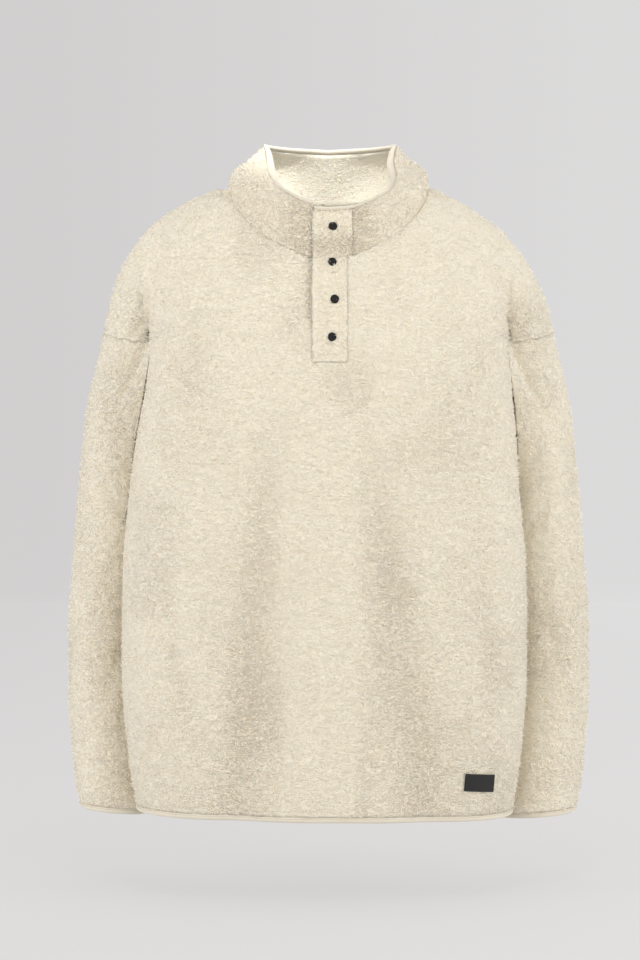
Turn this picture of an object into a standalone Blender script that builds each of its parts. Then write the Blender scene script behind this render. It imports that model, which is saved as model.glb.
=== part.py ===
"""Sherpa fleece pullover with a stand collar and a four-snap half placket, filled out as worn.

Metres, +Z up, +Y to the back, +X to the wearer's left. The origin is midway between the two points
where the shoulder seams meet the neck seam, where the wearer's neck and shoulders carry the garment.
Heights are given as drops below that point. Every cloth piece is a wall whose outer face lies on one
form: a shoulder-wide section that parts, below the chest, into a torso section and two arm tubes.
"""

import math

import bpy
import numpy as np

CLOTH = 0.004  # wall of knitted backing and pile together
SEAM = 0.0003  # space between pieces that are sewn together
FRONT, BACK = -1, 1

NECK_HALF = 0.113  # from the centre to where a shoulder seam meets the neck seam
NECK_TOP = -0.004  # drop of that meeting point
NECK_RISE = 0.001  # the shoulder seam rises this much more on its way to the neck
FRONT_NECK_DROP = 0.0835  # lowest point of the neck seam
FRONT_NECK_CURVE = 1.65  # exponent of its superellipse
BACK_NECK_DROP = 0.008
BACK_NECK_FLAT = 0.0125  # half of the level stretch at the centre back
NECK_MIDDLE_Y, NECK_DEEP = -0.010, 0.095  # the neck hole in plan

SHOULDER_END = 0.154  # drop where a shoulder seam ends at the armhole
FOLD_DROP = 0.170  # drop where the armhole seam enters the armpit folds
FOLD_X = {FRONT: 0.200, BACK: 0.168}
UNDERARM = 0.270
SIDE_Y = 0.010  # the side seams lie this far behind the neck point
SHOULDER_Y = 0.030  # and the shoulder ends this far
HEM = 0.696  # lower edge of the fleece

PLACKET_RIGHT, PLACKET_LEFT = -0.0177, 0.0192  # sides of the cut in the front, the wearer's
PLACKET_BOTTOM = 0.1974
COLLAR_END_LEFT = 0.0255  # the strip is wider where it crosses the collar
STRIP_PROUD = 0.0010
FREE_EDGE_SPACE = 0.0010
UNDERLAP_RIGHT, UNDERLAP_LEFT, UNDERLAP_BOTTOM = -0.0260, 0.0140, 0.190

COLLAR_CLOTH_TOP = 0.90  # share of the collar's height that is fleece; the rest is binding
BINDING_SPACE = 0.045  # share of the height between the fleece and its binding
COLLAR_LIFT = 0.85  # the bulge of the collar's wall also rises by this share of it
BINDING_HEIGHT, BINDING_THICK, BINDING_INSET = 0.0062, 0.0030, 0.0005
SNAP_RADIUS, SNAP_HEIGHT, SNAP_SIDES = 0.0055, 0.0024, 16
LABEL_HALF, LABEL_THICK = (0.0165, 0.0095), 0.0010
LABEL_AT, LABEL_TURN = (0.1655, -0.660), math.radians(-5)

FLEECE = ((0.79, 0.72, 0.60), 0.95)
KNIT_BINDING = ((0.66, 0.60, 0.52), 0.85)
BLACK_METAL = ((0.02, 0.02, 0.02), 0.40)
BLACK_WEAVE = ((0.03, 0.03, 0.03), 0.80)


def table(names, *rows):
    """Columns by name; the first is what the others are read against."""
    return dict(zip(names.split(), np.array(rows, float).T))


OUTLINE = table(  # widest reach from the centre: shoulder seams, then the sleeves' outer sides
    "drop half_width",
    (-0.004, 0.130), (0.003, 0.145), (0.010, 0.160), (0.017, 0.171), (0.026, 0.186),
    (0.044, 0.208), (0.063, 0.2235), (0.081, 0.2345), (0.099, 0.2425), (0.117, 0.249),
    (0.136, 0.2535), (0.154, 0.257), (0.172, 0.261), (0.209, 0.270), (0.245, 0.279),
    (0.282, 0.2835), (0.355, 0.292), (0.428, 0.2985), (0.500, 0.3035), (0.573, 0.3035),
    (0.646, 0.2985), (0.683, 0.294), (0.720, 0.2865),
)
TORSO = table(  # half width, and how far the front and back lie from the neck point
    "drop half_width front back",
    (-0.004, 0.150, 0.000, 0.000), (0.000, 0.155, 0.020, 0.045), (0.004, 0.160, 0.034, 0.065),
    (0.008, 0.165, 0.048, 0.078), (0.014, 0.170, 0.062, 0.082), (0.027, 0.178, 0.0725, 0.087),
    (0.043, 0.186, 0.0855, 0.093), (0.063, 0.192, 0.098, 0.099), (0.0835, 0.197, 0.1055, 0.104),
    (0.120, 0.203, 0.117, 0.110), (0.173, 0.206, 0.127, 0.115), (0.225, 0.210, 0.132, 0.114),
    (0.280, 0.216, 0.134, 0.111), (0.355, 0.223, 0.133, 0.106), (0.420, 0.2286, 0.132, 0.103),
    (0.490, 0.230, 0.130, 0.102), (0.550, 0.230, 0.128, 0.102), (0.610, 0.226, 0.126, 0.103),
    (0.650, 0.2215, 0.125, 0.104), (0.690, 0.2155, 0.123, 0.104), (0.710, 0.212, 0.122, 0.104),
)
ARM = table(  # half sizes of an arm tube, and how far behind the neck point its middle lies
    "drop half_across half_deep middle",
    (0.080, 0.034, 0.055, 0.018), (0.154, 0.040, 0.062, 0.030), (0.270, 0.0450, 0.066, 0.052),
    (0.350, 0.0480, 0.064, 0.070), (0.450, 0.0500, 0.063, 0.082), (0.600, 0.0500, 0.060, 0.085),
    (0.720, 0.0485, 0.056, 0.080),
)
COLLAR_TOP = table(  # turn in degrees from the centre front; reach to the wearer's right and left; how far
    # the wall would bulge out halfway up
    "turn right left y z_right z_left bulge",
    (0, 0.000, 0.000, -0.0870, -0.0190, -0.0245, 0.004),
    (10, 0.0190, 0.0195, -0.0860, -0.0165, -0.0232, 0.004),
    (17, 0.0280, 0.0306, -0.0830, -0.0135, -0.0205, 0.005),
    (26, 0.0355, 0.0410, -0.0770, -0.0095, -0.0158, 0.007),
    (35, 0.0425, 0.0510, -0.0700, -0.0050, -0.0105, 0.010),
    (50, 0.051, 0.0640, -0.0560, 0.0015, -0.0020, 0.015),
    (75, 0.058, 0.069, -0.0300, 0.0150, 0.0140, 0.023),
    (100, 0.062, 0.066, 0.0000, 0.0340, 0.0340, 0.030),
    (125, 0.0675, 0.0715, 0.0240, 0.0530, 0.0530, 0.033),
    (140, 0.0730, 0.0765, 0.0380, 0.0610, 0.0610, 0.030),
    (156, 0.052, 0.054, 0.0480, 0.0590, 0.0590, 0.016),
    (180, 0.000, 0.000, 0.0545, 0.0565, 0.0565, 0.004),
)
FOLDS = table(  # soft troughs, or ridges where the depth is below 0, from upper to lower end
    "side x_top drop_top x_low drop_low half_width depth",
    (FRONT, -0.057, 0.235, -0.096, 0.690, 0.030, 0.0075),
    (FRONT, 0.038, 0.235, 0.112, 0.690, 0.032, 0.0085),
    (FRONT, 0.002, 0.215, -0.022, 0.690, 0.026, -0.0030),
    (BACK, -0.105, 0.270, -0.085, 0.690, 0.034, 0.0070),
    (BACK, 0.080, 0.240, 0.108, 0.690, 0.030, 0.0060),
    (BACK, 0.010, 0.330, 0.018, 0.690, 0.032, 0.0045),
)
SNAPS = table("x z", (0.0042, -0.0467), (0.0035, -0.0871), (0.0061, -0.1297), (0.0032, -0.1711))

TORSO_POWER = 2.667  # how square the torso's section is; 2 is an ellipse
FALL_AWAY = 1.5  # slope of the torso's form past its sides, where only the arm is cloth
FOLD_RISE = 0.008  # the row that ends at the armpit fold begins this much higher
PARTED = (0.080, 0.165)  # the chest and the arms part between these drops
ARMPIT_ROUND = (0.030, 0.010)  # roundness of the fold between them at those drops
LEAN, LEAN_FROM, LEAN_OVER = -0.005, 0.200, 0.150  # the torso hangs a little to one side
LEFT_FALL, LEFT_FALL_FROM, LEFT_FALL_OVER = 0.0135, 0.105, 0.045  # the left shoulder slopes more
LEFT_FALL_DROPS = (0.005, 0.155)
CUFF_DROP = {-1: 0.7045, 1: 0.709}
HEM_SLOPE, HEM_SLOPE_FROM = 0.011, 0.540
CUFF_TILT = 0.003  # the outer side of a cuff is this much higher than its middle
UNDERARM_TURN = 170  # degrees from a sleeve's outer side round the front to its seam
TUBE_FROM = 0.22  # share of a sleeve's length over which it leaves the armhole's shape
TORSO_CLEARANCE = 0.023  # a sleeve keeps this share of the torso's size away from it
RIM_OPENING = 0.12  # how far a rim turns away from the seam towards the inside

HALF_CELLS = 9  # cells across each half of a panel
SHOULDER_ROWS = (-0.004, 0.004, 0.014, 0.027, 0.043, 0.060, 0.0735, 0.0805, 0.100, 0.120, 0.138)
FOLD_STEPS = 5  # rows from the shoulder's end to the armpit fold
UNDERARM_STEPS = 6  # rows from there to the underarm point
SIDE_ROWS = (0.310, 0.360, 0.420, 0.480, 0.540, 0.600, 0.650, HEM)
BACK_NECK_X = (0.113, 0.099, 0.080, 0.056, 0.030, BACK_NECK_FLAT)
SLEEVE_RINGS = (0, 0.03, 0.08, 0.15, 0.23, 0.33, 0.44, 0.55, 0.66, 0.77, 0.88, 1)
COLLAR_LEVELS = (0, 0.3, 0.6, COLLAR_CLOTH_TOP)
STRIP_BODY_ROWS, STRIP_CELLS = 8, 4


# ---- the form ---------------------------------------------------------------------------------


def smooth_step(value):
    value = np.clip(value, 0.0, 1.0)
    return value * value * (3 - 2 * value)


def smooth_larger(first, second, roundness):
    near = np.maximum(roundness - np.abs(first - second), 0) / roundness
    return np.maximum(first, second) + near * near * roundness / 4


def read(columns, name, at):
    """A column anywhere along its table, on a smooth curve through the rows that never overshoots."""
    known, value = list(columns.values())[0], columns[name]
    at = np.clip(at, known[0], known[-1])
    slope = np.diff(value) / np.diff(known)
    same_way = slope[1:] * slope[:-1] > 0
    total = np.where(same_way, slope[1:] + slope[:-1], 1)
    inner = np.where(same_way, 2 * slope[1:] * slope[:-1] / total, 0)
    tangent = np.concatenate([slope[:1], inner, slope[-1:]])
    row = np.clip(np.searchsorted(known, at, side="right") - 1, 0, len(known) - 2)
    span = known[row + 1] - known[row]
    t = (at - known[row]) / span
    rise = value[row] * (1 + 2 * t) * (1 - t) ** 2 + value[row + 1] * t * t * (3 - 2 * t)
    return rise + span * t * (1 - t) * ((1 - t) * tangent[row] - t * tangent[row + 1])


def side_depth(drop, side):
    """How far the middle of the front or back lies from the neck point."""
    return read(TORSO, "front" if side == FRONT else "back", drop)


def torso_y(x, drop, side):
    half = read(TORSO, "half_width", drop)
    deep = side_depth(drop, side) - side * SIDE_Y
    inside = (1 - np.minimum(np.abs(x) / half, 1) ** TORSO_POWER) ** (1 / TORSO_POWER)
    beyond = np.maximum(np.abs(x) - half, 0)
    return SIDE_Y + side * (deep * inside - FALL_AWAY * beyond)


def arm_y(x, drop, side):
    across = read(ARM, "half_across", drop)
    middle_x = read(OUTLINE, "half_width", drop) - across
    inside = np.sqrt(1 - np.minimum(((np.abs(x) - middle_x) / across) ** 2, 1))
    return read(ARM, "middle", drop) + side * read(ARM, "half_deep", drop) * inside


def shoulder_y(x, drop, side):
    """The section across chest and arms: one lens at the neck, parted at the armpit folds."""
    share = np.clip(np.abs(x) / read(OUTLINE, "half_width", drop), 0, 1)
    ridge = SHOULDER_Y * smooth_step(drop / SHOULDER_END)
    lens = ridge * share**2 + side * side_depth(drop, side) * np.sqrt(1 - share**2)
    parted = smooth_step((drop - PARTED[0]) / (PARTED[1] - PARTED[0]))
    roundness = ARMPIT_ROUND[0] + (ARMPIT_ROUND[1] - ARMPIT_ROUND[0]) * parted
    joined = side * smooth_larger(
        side * torso_y(x, drop, side), side * arm_y(x, drop, side), roundness
    )
    return lens + (joined - lens) * parted


def fold_depth(x, drop, side):
    """How deep the large folds press the cloth in."""
    depth = np.zeros(np.broadcast(x, drop).shape)
    for fold in zip(*FOLDS.values()):
        fold_side, x_top, drop_top, x_low, drop_low, half_width, most = fold
        if fold_side != side:
            continue
        along = (drop - drop_top) / (drop_low - drop_top)
        middle = x_top + (x_low - x_top) * along
        width = half_width * (0.6 + 0.4 * np.clip(along, 0, 1))
        depth += most * smooth_step(along / 0.45) * np.exp(-(((x - middle) / width) ** 2))
    return depth


def lean(drop):
    return LEAN * smooth_step((drop - LEAN_FROM) / LEAN_OVER)


def shift(x, drop):
    """How far the cloth lies to the left of an even form: the torso's lean and the left shoulder."""
    top, low = LEFT_FALL_DROPS
    beside = smooth_step((x - LEFT_FALL_FROM) / LEFT_FALL_OVER)
    return lean(drop) - LEFT_FALL * beside * (1 - smooth_step((drop - top) / (low - top)))


def hem_fall(x, drop):
    """The hem hangs lower on the wearer's left."""
    return HEM_SLOPE * x * smooth_step((drop - HEM_SLOPE_FROM) / (HEM - HEM_SLOPE_FROM))


def unit(vectors):
    return vectors / np.linalg.norm(vectors, axis=-1, keepdims=True)


def grid_normals(grid, flip):
    down, across = np.gradient(grid, axis=0), np.gradient(grid, axis=1)
    return unit(np.cross(across, down) * flip)


# ---- front and back ----------------------------------------------------------------------------


def armhole_rows(side):
    """(drop, reach) of the armhole seam: round the arm's upper side, then down to the underarm."""
    rows = []
    for step in range(FOLD_STEPS + 1):
        turn = math.pi / 2 * step / FOLD_STEPS
        drop = SHOULDER_END + (FOLD_DROP - SHOULDER_END) * step / FOLD_STEPS
        reach = float(read(OUTLINE, "half_width", drop))
        rows.append((drop, FOLD_X[side] + (reach - FOLD_X[side]) * math.cos(turn)))
    fold_y = float(torso_y(FOLD_X[side], FOLD_DROP, side)) - SIDE_Y
    for step in range(1, UNDERARM_STEPS + 1):
        turn = math.pi / 2 * step / UNDERARM_STEPS
        drop = FOLD_DROP + (UNDERARM - FOLD_DROP) * math.sin(turn)
        deep = float(side_depth(drop, side)) - side * SIDE_Y
        out_of_depth = min(abs(fold_y) * math.cos(turn) / deep, 1)
        share = (1 - out_of_depth**TORSO_POWER) ** (1 / TORSO_POWER)
        rows.append((drop, float(read(TORSO, "half_width", drop)) * share))
    return rows


def outer_rows(side):
    """(drop, reach, on the torso) where each row of a panel ends: shoulder, armhole, side seam."""
    rows = [(drop, float(read(OUTLINE, "half_width", drop))) for drop in SHOULDER_ROWS]
    rows += armhole_rows(side)
    rows += [(drop, float(read(TORSO, "half_width", drop))) for drop in SIDE_ROWS]
    return [(drop, reach, drop > FOLD_DROP) for drop, reach in rows]


ARMHOLE_FIRST = len(SHOULDER_ROWS)
ARMHOLE_LAST = ARMHOLE_FIRST + FOLD_STEPS + UNDERARM_STEPS
FRONT_NECK_LAST = 7  # the row that ends at the placket's top
PLACKET_LAST = ARMHOLE_FIRST + FOLD_STEPS + 1
LEVEL_FIRST = ARMHOLE_LAST + 1  # from here on the rows are level


def front_neck_x(drop):
    down = (drop - NECK_TOP) / (FRONT_NECK_DROP - NECK_TOP)
    share = max(1 - max(down, 0) ** FRONT_NECK_CURVE, 0)
    return NECK_HALF * share ** (1 / FRONT_NECK_CURVE)


def front_neck_drop(x):
    share = 1 - (abs(x) / NECK_HALF) ** FRONT_NECK_CURVE
    return NECK_TOP + (FRONT_NECK_DROP - NECK_TOP) * share ** (1 / FRONT_NECK_CURVE)


def inner_rows(side, sign):
    """(drop, x) where each row begins: on the neck seam, then at the placket or near the centre."""
    fold_row = (ARMHOLE_FIRST + FOLD_STEPS, FOLD_DROP - FOLD_RISE)
    rows = []
    if side == FRONT:
        edge = abs(PLACKET_LEFT if sign > 0 else PLACKET_RIGHT)
        for row in range(FRONT_NECK_LAST):
            drop = SHOULDER_ROWS[row]
            rows.append((drop - (NECK_RISE if row == 0 else 0), front_neck_x(drop)))
        rows.append((front_neck_drop(edge), edge))
        stops = [(FRONT_NECK_LAST, rows[-1][0]), fold_row, (PLACKET_LAST, PLACKET_BOTTOM)]
    else:
        edge = BACK_NECK_FLAT
        for row, x in enumerate(BACK_NECK_X):
            across = (x - BACK_NECK_FLAT) / (NECK_HALF - BACK_NECK_FLAT)
            drop = BACK_NECK_DROP + (NECK_TOP - BACK_NECK_DROP) * across**2
            rows.append((drop - (NECK_RISE if row == 0 else 0), x))
        stops = [(len(BACK_NECK_X) - 1, rows[-1][0]), fold_row]
    stops.append((LEVEL_FIRST, SIDE_ROWS[0]))
    for (first, top), (last, low) in zip(stops, stops[1:]):
        for row in range(first + 1, last + 1):
            rows.append((top + (low - top) * (row - first) / (last - first), edge))
    rows += [(drop, edge) for drop in SIDE_ROWS[1:]]
    return rows


def half_panel(side, sign):
    """Points of one half of a panel, row by row, from its inner to its outer edge."""
    spread = np.sin(math.pi / 2 * np.linspace(0, 1, HALF_CELLS + 1))
    grid = []
    for (drop_out, reach, on_torso), (drop_in, x_in) in zip(outer_rows(side), inner_rows(side, sign)):
        columns = TORSO if on_torso else OUTLINE
        drop = drop_in + (drop_out - drop_in) * np.linspace(0, 1, HALF_CELLS + 1)
        start = x_in / read(columns, "half_width", drop_in)
        end = reach / read(columns, "half_width", drop_out)
        x = sign * (start + (end - start) * spread) * read(columns, "half_width", drop)
        y = (torso_y if on_torso else shoulder_y)(x, drop, side)
        y = y - side * fold_depth(x, drop, side) + side * SEAM / 2
        grid.append(np.stack([x + shift(x, drop), y, -drop - hem_fall(x, drop)], axis=-1))
    return np.array(grid)


def half_normals(grid, side, sign):
    """Outward directions, the same for front and back along the seams they share."""
    normals = grid_normals(grid, side * sign)
    ends = outer_rows(side)
    for row, (drop, _, on_torso) in enumerate(ends):
        if ARMHOLE_FIRST < row < ARMHOLE_LAST:
            continue
        columns = TORSO if on_torso else OUTLINE
        step = 0.001
        widening = read(columns, "half_width", drop + step) - read(columns, "half_width", drop)
        normals[row, -1] = (sign, 0, widening / step)
    normals[0] = np.linspace(0, 1, HALF_CELLS + 1)[:, None] * normals[0, -1]
    normals[0, :, 2] += np.linspace(1, 0, HALF_CELLS + 1)
    normals[-1, :, 2] = 0
    return unit(normals)


def panel(side):
    """The outer face of the front or back, its normals, and the cells that are cloth."""
    halves = {sign: half_panel(side, sign) for sign in (-1, 1)}
    normals = {sign: half_normals(halves[sign], side, sign) for sign in (-1, 1)}
    middle = (halves[-1][:, :1] + halves[1][:, :1]) / 2
    drop = -middle[..., 2]
    crown = shoulder_y(middle[..., 0], drop, side) - side * fold_depth(0, drop, side)
    middle[..., 1] = crown + side * SEAM / 2
    middle_normals = unit(normals[-1][:, :1] + normals[1][:, :1])
    points = np.concatenate([halves[-1][:, ::-1], middle, halves[1]], axis=1)
    outward = np.concatenate([normals[-1][:, ::-1], middle_normals, normals[1]], axis=1)
    cells = np.ones((points.shape[0] - 1, points.shape[1] - 1), bool)
    cut_rows = PLACKET_LAST if side == FRONT else len(BACK_NECK_X) - 1
    cells[:cut_rows, HALF_CELLS : HALF_CELLS + 2] = False
    return points, outward, cells


# ---- sleeves -----------------------------------------------------------------------------------


def away_from_torso(points, clearance):
    """Moves points that lie in or at the torso straight out from its middle."""
    drop = -points[..., 2]
    half = read(TORSO, "half_width", drop)
    middle_x = lean(drop)
    behind = points[..., 1] > SIDE_Y
    deep = np.where(behind, side_depth(drop, BACK) - SIDE_Y, side_depth(drop, FRONT) + SIDE_Y)
    across = (points[..., 0] - middle_x) / half
    along = (points[..., 1] - SIDE_Y) / deep
    out = (np.abs(across) ** TORSO_POWER + np.abs(along) ** TORSO_POWER) ** (1 / TORSO_POWER)
    scale = np.where(out < 1 + clearance, (1 + clearance) / out, 1)
    moved = points.copy()
    moved[..., 0] = middle_x + across * half * scale
    moved[..., 1] = SIDE_Y + along * deep * scale
    return moved


def armhole_ring(panels, sign):
    """The armhole seam as a ring from the shoulder's end round the front, with its normals."""
    column = -1 if sign > 0 else 0
    rows = np.arange(ARMHOLE_FIRST, ARMHOLE_LAST + 1)
    points, normals = [], []
    for side, order in ((FRONT, rows), (BACK, rows[::-1])):
        grid, outward, _ = panels[side]
        edge = grid[order, column]
        along = unit(np.gradient(edge, axis=0))
        across = -sign * np.cross(along, outward[order, column])
        points.append(edge + SEAM * unit(across))
        normals.append(unit(outward[order, column] - RIM_OPENING * unit(across)))
    # Front and back meet at the shoulder's end and under the arm, half a seam to either side.
    ring = np.concatenate([points[0][:-1], points[1][:-1]])
    outward = np.concatenate([normals[0][:-1], normals[1][:-1]])
    last = len(rows) - 1
    ring[0] = (points[0][0] + points[1][-1]) / 2
    ring[last] = (points[0][-1] + points[1][0]) / 2
    ring[[0, last], 2] = -SHOULDER_END - SEAM, -UNDERARM
    outward[last] = (sign, 0, 0)
    # Below the fold the sleeve lies face to face with the torso, so it stands off it instead.
    below = smooth_step((-ring[:, 2] - FOLD_DROP) / (UNDERARM - FOLD_DROP) / 0.2)[:, None]
    return ring + below * 3 * SEAM * outward, outward


def tube_angles(ring, sign):
    """Angle of each ring point round the arm tube: 0 outside, below 0 in front, then unwound."""
    drop = -ring[:, 2]
    across = read(ARM, "half_across", drop)
    beside = (sign * ring[:, 0] - read(OUTLINE, "half_width", drop) + across) / across
    behind = (ring[:, 1] - read(ARM, "middle", drop)) / read(ARM, "half_deep", drop)
    angles = np.unwrap(-np.arctan2(behind, beside))
    return angles - angles[0]


def tube_points(angles, drop, sign):
    across = read(ARM, "half_across", drop)
    x = read(OUTLINE, "half_width", drop) - across + across * np.cos(angles)
    y = read(ARM, "middle", drop) - read(ARM, "half_deep", drop) * np.sin(angles)
    return np.stack([sign * x, y, -drop], axis=-1)


def sleeve(panels, sign):
    """A tube from the armhole to the cuff, whose top ring is the armhole's own seam."""
    ring, ring_normals = armhole_ring(panels, sign)
    count = len(ring)
    start = tube_angles(ring, sign)
    front_steps = ARMHOLE_LAST - ARMHOLE_FIRST
    even = np.interp(
        np.arange(count), [0, front_steps, count], np.radians([0, UNDERARM_TURN, 360])
    )
    offset = ring - tube_points(start, -ring[:, 2], sign)
    rings = []
    for share in SLEEVE_RINGS:
        eased = smooth_step(share / TUBE_FROM)
        angles = start + (even - start) * eased
        cuff = CUFF_DROP[sign] - CUFF_TILT * np.cos(angles)
        drop = -ring[:, 2] + (cuff + ring[:, 2]) * share
        points = tube_points(angles, drop, sign) + offset * (1 - eased)
        rings.append(away_from_torso(points, TORSO_CLEARANCE * min(share / 0.03, 1)))
    rings[0] = ring
    grid = np.array(rings)
    closed = np.concatenate([grid[:, -1:], grid, grid[:, :1]], axis=1)
    normals = grid_normals(closed, sign)[:, 1:-1]
    own = smooth_step((-ring[:, 2] - FOLD_DROP) / 0.02)[:, None]
    normals[0] = unit(ring_normals * (1 - own) + normals[0] * own)
    normals[-1] = unit(normals[-1] * (1, 1, 0))
    return grid, normals


# ---- collar and placket ------------------------------------------------------------------------


def collar_point(base, height, lapped=False):
    """A point of the collar's outer face, above a point of the neck seam, at a share of its height.

    The lapped strip ends as high as the collar's left part does, a little below its right part.
    """
    x, y, _ = base
    turn = math.degrees(math.atan2(abs(x) / NECK_HALF, (NECK_MIDDLE_Y - y) / NECK_DEEP))
    top_x = math.copysign(float(read(COLLAR_TOP, "left" if x > 0 else "right", turn)), x)
    top_z = float(read(COLLAR_TOP, "z_left" if lapped or x > 0 else "z_right", turn))
    top = np.array([top_x, float(read(COLLAR_TOP, "y", turn)), top_z])
    outward = unit(np.array([x / NECK_HALF**2, (y - NECK_MIDDLE_Y) / NECK_DEEP**2, 0]))
    bulge = float(read(COLLAR_TOP, "bulge", turn))
    halfway = (base + top) / 2 + bulge * (outward + np.array((0, 0, COLLAR_LIFT)))
    start, middle, end = (1 - height) ** 2, 2 * height * (1 - height), height**2
    return start * base + middle * halfway + end * top


def neck_seam(panels):
    """Points just above the neck seam, from the placket's left side round the back to its right."""
    front, _, _ = panels[FRONT]
    back, _, _ = panels[BACK]
    left, right = HALF_CELLS + 2, HALF_CELLS
    neck_rows = np.arange(FRONT_NECK_LAST + 1)
    back_rows = np.arange(1, len(BACK_NECK_X))
    left_front = front[neck_rows[::-1], left]
    share = (COLLAR_END_LEFT - left_front[0, 0]) / (left_front[1, 0] - left_front[0, 0])
    left_front[0] += (left_front[1] - left_front[0]) * share
    top_left = (front[0, left] + back[0, left]) / 2
    top_right = (front[0, right] + back[0, right]) / 2
    points = np.concatenate([
        left_front[:-1], [top_left], back[back_rows, left],
        back[back_rows[::-1], right], [top_right], front[neck_rows[1:], right],
    ])
    inward = unit((points - (0, NECK_MIDDLE_Y, 0)) * (1, 1, 0))
    return points - SEAM * inward + (0, 0, 2.5 * SEAM)


def collar_face(panels, levels):
    return np.array([[collar_point(base, level) for base in neck_seam(panels)] for level in levels])


def collar_normals(face):
    """Outward directions whose ends point straight forward, so that the ends stay beside the strip."""
    normals = grid_normals(face, 1)
    normals[:, [0, -1], 0] = 0
    return unit(normals)


def strip_face(right, left, left_on_collar, bottom, levels):
    """A strip of the front form from the placket's bottom up over the collar, row by row."""
    rows = []
    for step in range(STRIP_BODY_ROWS + 1):
        row = []
        for across in np.linspace(right, left, STRIP_CELLS + 1):
            top = front_neck_drop(across)
            drop = bottom + (top - bottom) * step / STRIP_BODY_ROWS
            row.append((across, float(shoulder_y(across, drop, FRONT)), -drop))
        rows.append(row)
    for level in levels:
        row = []
        for across in np.linspace(right, left_on_collar, STRIP_CELLS + 1):
            drop = front_neck_drop(across)
            base = np.array([across, float(shoulder_y(across, drop, FRONT)), -drop])
            row.append(collar_point(base, level, lapped=True) * (0, 1, 1) + base * (1, 0, 0))
        rows.append(row)
    return np.array(rows, float)


# ---- solids ------------------------------------------------------------------------------------


def material(name, finish):
    made = bpy.data.materials.get(name) or bpy.data.materials.new(name)
    made.use_nodes = True
    shader = made.node_tree.nodes["Principled BSDF"]
    colour, roughness = finish
    shader.inputs["Base Color"].default_value = (*colour, 1)
    shader.inputs["Roughness"].default_value = roughness
    made.diffuse_color = (*colour, 1)
    return made


def add_solid(name, points, faces, finish):
    mesh = bpy.data.meshes.new(name)
    mesh.from_pydata([tuple(map(float, point)) for point in points], [], faces)
    mesh.validate()
    volume = 0.0
    for a, b, c in faces:
        volume += float(np.dot(points[a], np.cross(points[b], points[c])))
    if volume < 0:
        mesh.flip_normals()
    mesh.shade_smooth()
    mesh.set_sharp_from_angle(angle=math.radians(50))
    mesh.materials.append(material(name.split("_")[0], finish))
    made = bpy.data.objects.new(name, mesh)
    bpy.context.scene.collection.objects.link(made)
    return made


def wall(name, outer, normals, thick, finish, cells=None, ring=False):
    """A closed wall under an outer face: both faces, and a rim along every edge of its cells."""
    rows, columns = outer.shape[:2]
    across = columns if ring else columns - 1
    if cells is None:
        cells = np.ones((rows - 1, across), bool)
    points = np.concatenate([outer.reshape(-1, 3), (outer - normals * thick).reshape(-1, 3)])
    inner_from = rows * columns
    edges, faces = {}, []
    for row, column in zip(*np.nonzero(cells)):
        after = (column + 1) % columns
        corners = [
            row * columns + column, row * columns + after,
            (row + 1) * columns + after, (row + 1) * columns + column,
        ]
        for a, b, c in ((0, 1, 2), (0, 2, 3)):
            faces.append((corners[a], corners[b], corners[c]))
            faces.append(tuple(inner_from + corners[i] for i in (c, b, a)))
        for start, end in zip(corners, corners[1:] + corners[:1]):
            if (end, start) in edges:
                del edges[end, start]
            else:
                edges[start, end] = True
    for start, end in edges:
        # The shorter diagonal, so that the rims on both sides of a seam fold alike.
        below_start, below_end = inner_from + start, inner_from + end
        if math.dist(points[end], points[below_start]) < math.dist(points[start], points[below_end]):
            faces += [(end, start, below_start), (end, below_start, below_end)]
        else:
            faces += [(end, start, below_end), (start, below_start, below_end)]
    used = np.unique(np.array(faces))
    place = {int(old): new for new, old in enumerate(used)}
    faces = [tuple(place[int(corner)] for corner in face) for face in faces]
    return add_solid(name, points[used], faces, finish)


def on_face(grid, x, z):
    """The point of a front-facing grid of triangles at x and z, and the direction it faces."""
    for row in range(grid.shape[0] - 1):
        for column in range(grid.shape[1] - 1):
            a, b = grid[row, column], grid[row, column + 1]
            c, d = grid[row + 1, column + 1], grid[row + 1, column]
            for p, q, r in ((a, b, c), (a, c, d)):
                across = np.array([q - p, r - p])[:, [0, 2]].T
                if abs(np.linalg.det(across)) < 1e-9:
                    continue
                s, t = np.linalg.solve(across, np.array([x - p[0], z - p[2]]))
                if s < -1e-6 or t < -1e-6 or s + t > 1 + 1e-6:
                    continue
                normal = unit(np.cross(q - p, r - p))
                return p + s * (q - p) + t * (r - p), normal * -math.copysign(1, normal[1])
    raise ValueError("no face there")


def snap(name, place, axis):
    """A press stud's cap: a low dome on the strip."""
    side = unit(np.cross(axis, (0, 0, 1)))
    up = np.cross(side, axis)
    rings = ((1.0, 2 * SEAM), (1.0, 0.55 * SNAP_HEIGHT), (0.78, 0.9 * SNAP_HEIGHT), (0.45, SNAP_HEIGHT))
    points, faces = [], []
    for size, height in rings:
        for step in range(SNAP_SIDES):
            turn = 2 * math.pi * step / SNAP_SIDES
            out = SNAP_RADIUS * size * (math.cos(turn) * side + math.sin(turn) * up)
            points.append(place + out + axis * height)
    for ring in range(len(rings) - 1):
        for step in range(SNAP_SIDES):
            a, b = ring * SNAP_SIDES + step, ring * SNAP_SIDES + (step + 1) % SNAP_SIDES
            c, d = b + SNAP_SIDES, a + SNAP_SIDES
            faces += [(a, b, c), (a, c, d)]
    points += [place + axis * 2 * SEAM, place + axis * SNAP_HEIGHT]
    bottom, top = len(points) - 2, len(points) - 1
    last = (len(rings) - 1) * SNAP_SIDES
    for step in range(SNAP_SIDES):
        after = (step + 1) % SNAP_SIDES
        faces += [(after, step, bottom), (last + step, last + after, top)]
    return add_solid(name, np.array(points), faces, BLACK_METAL)


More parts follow.
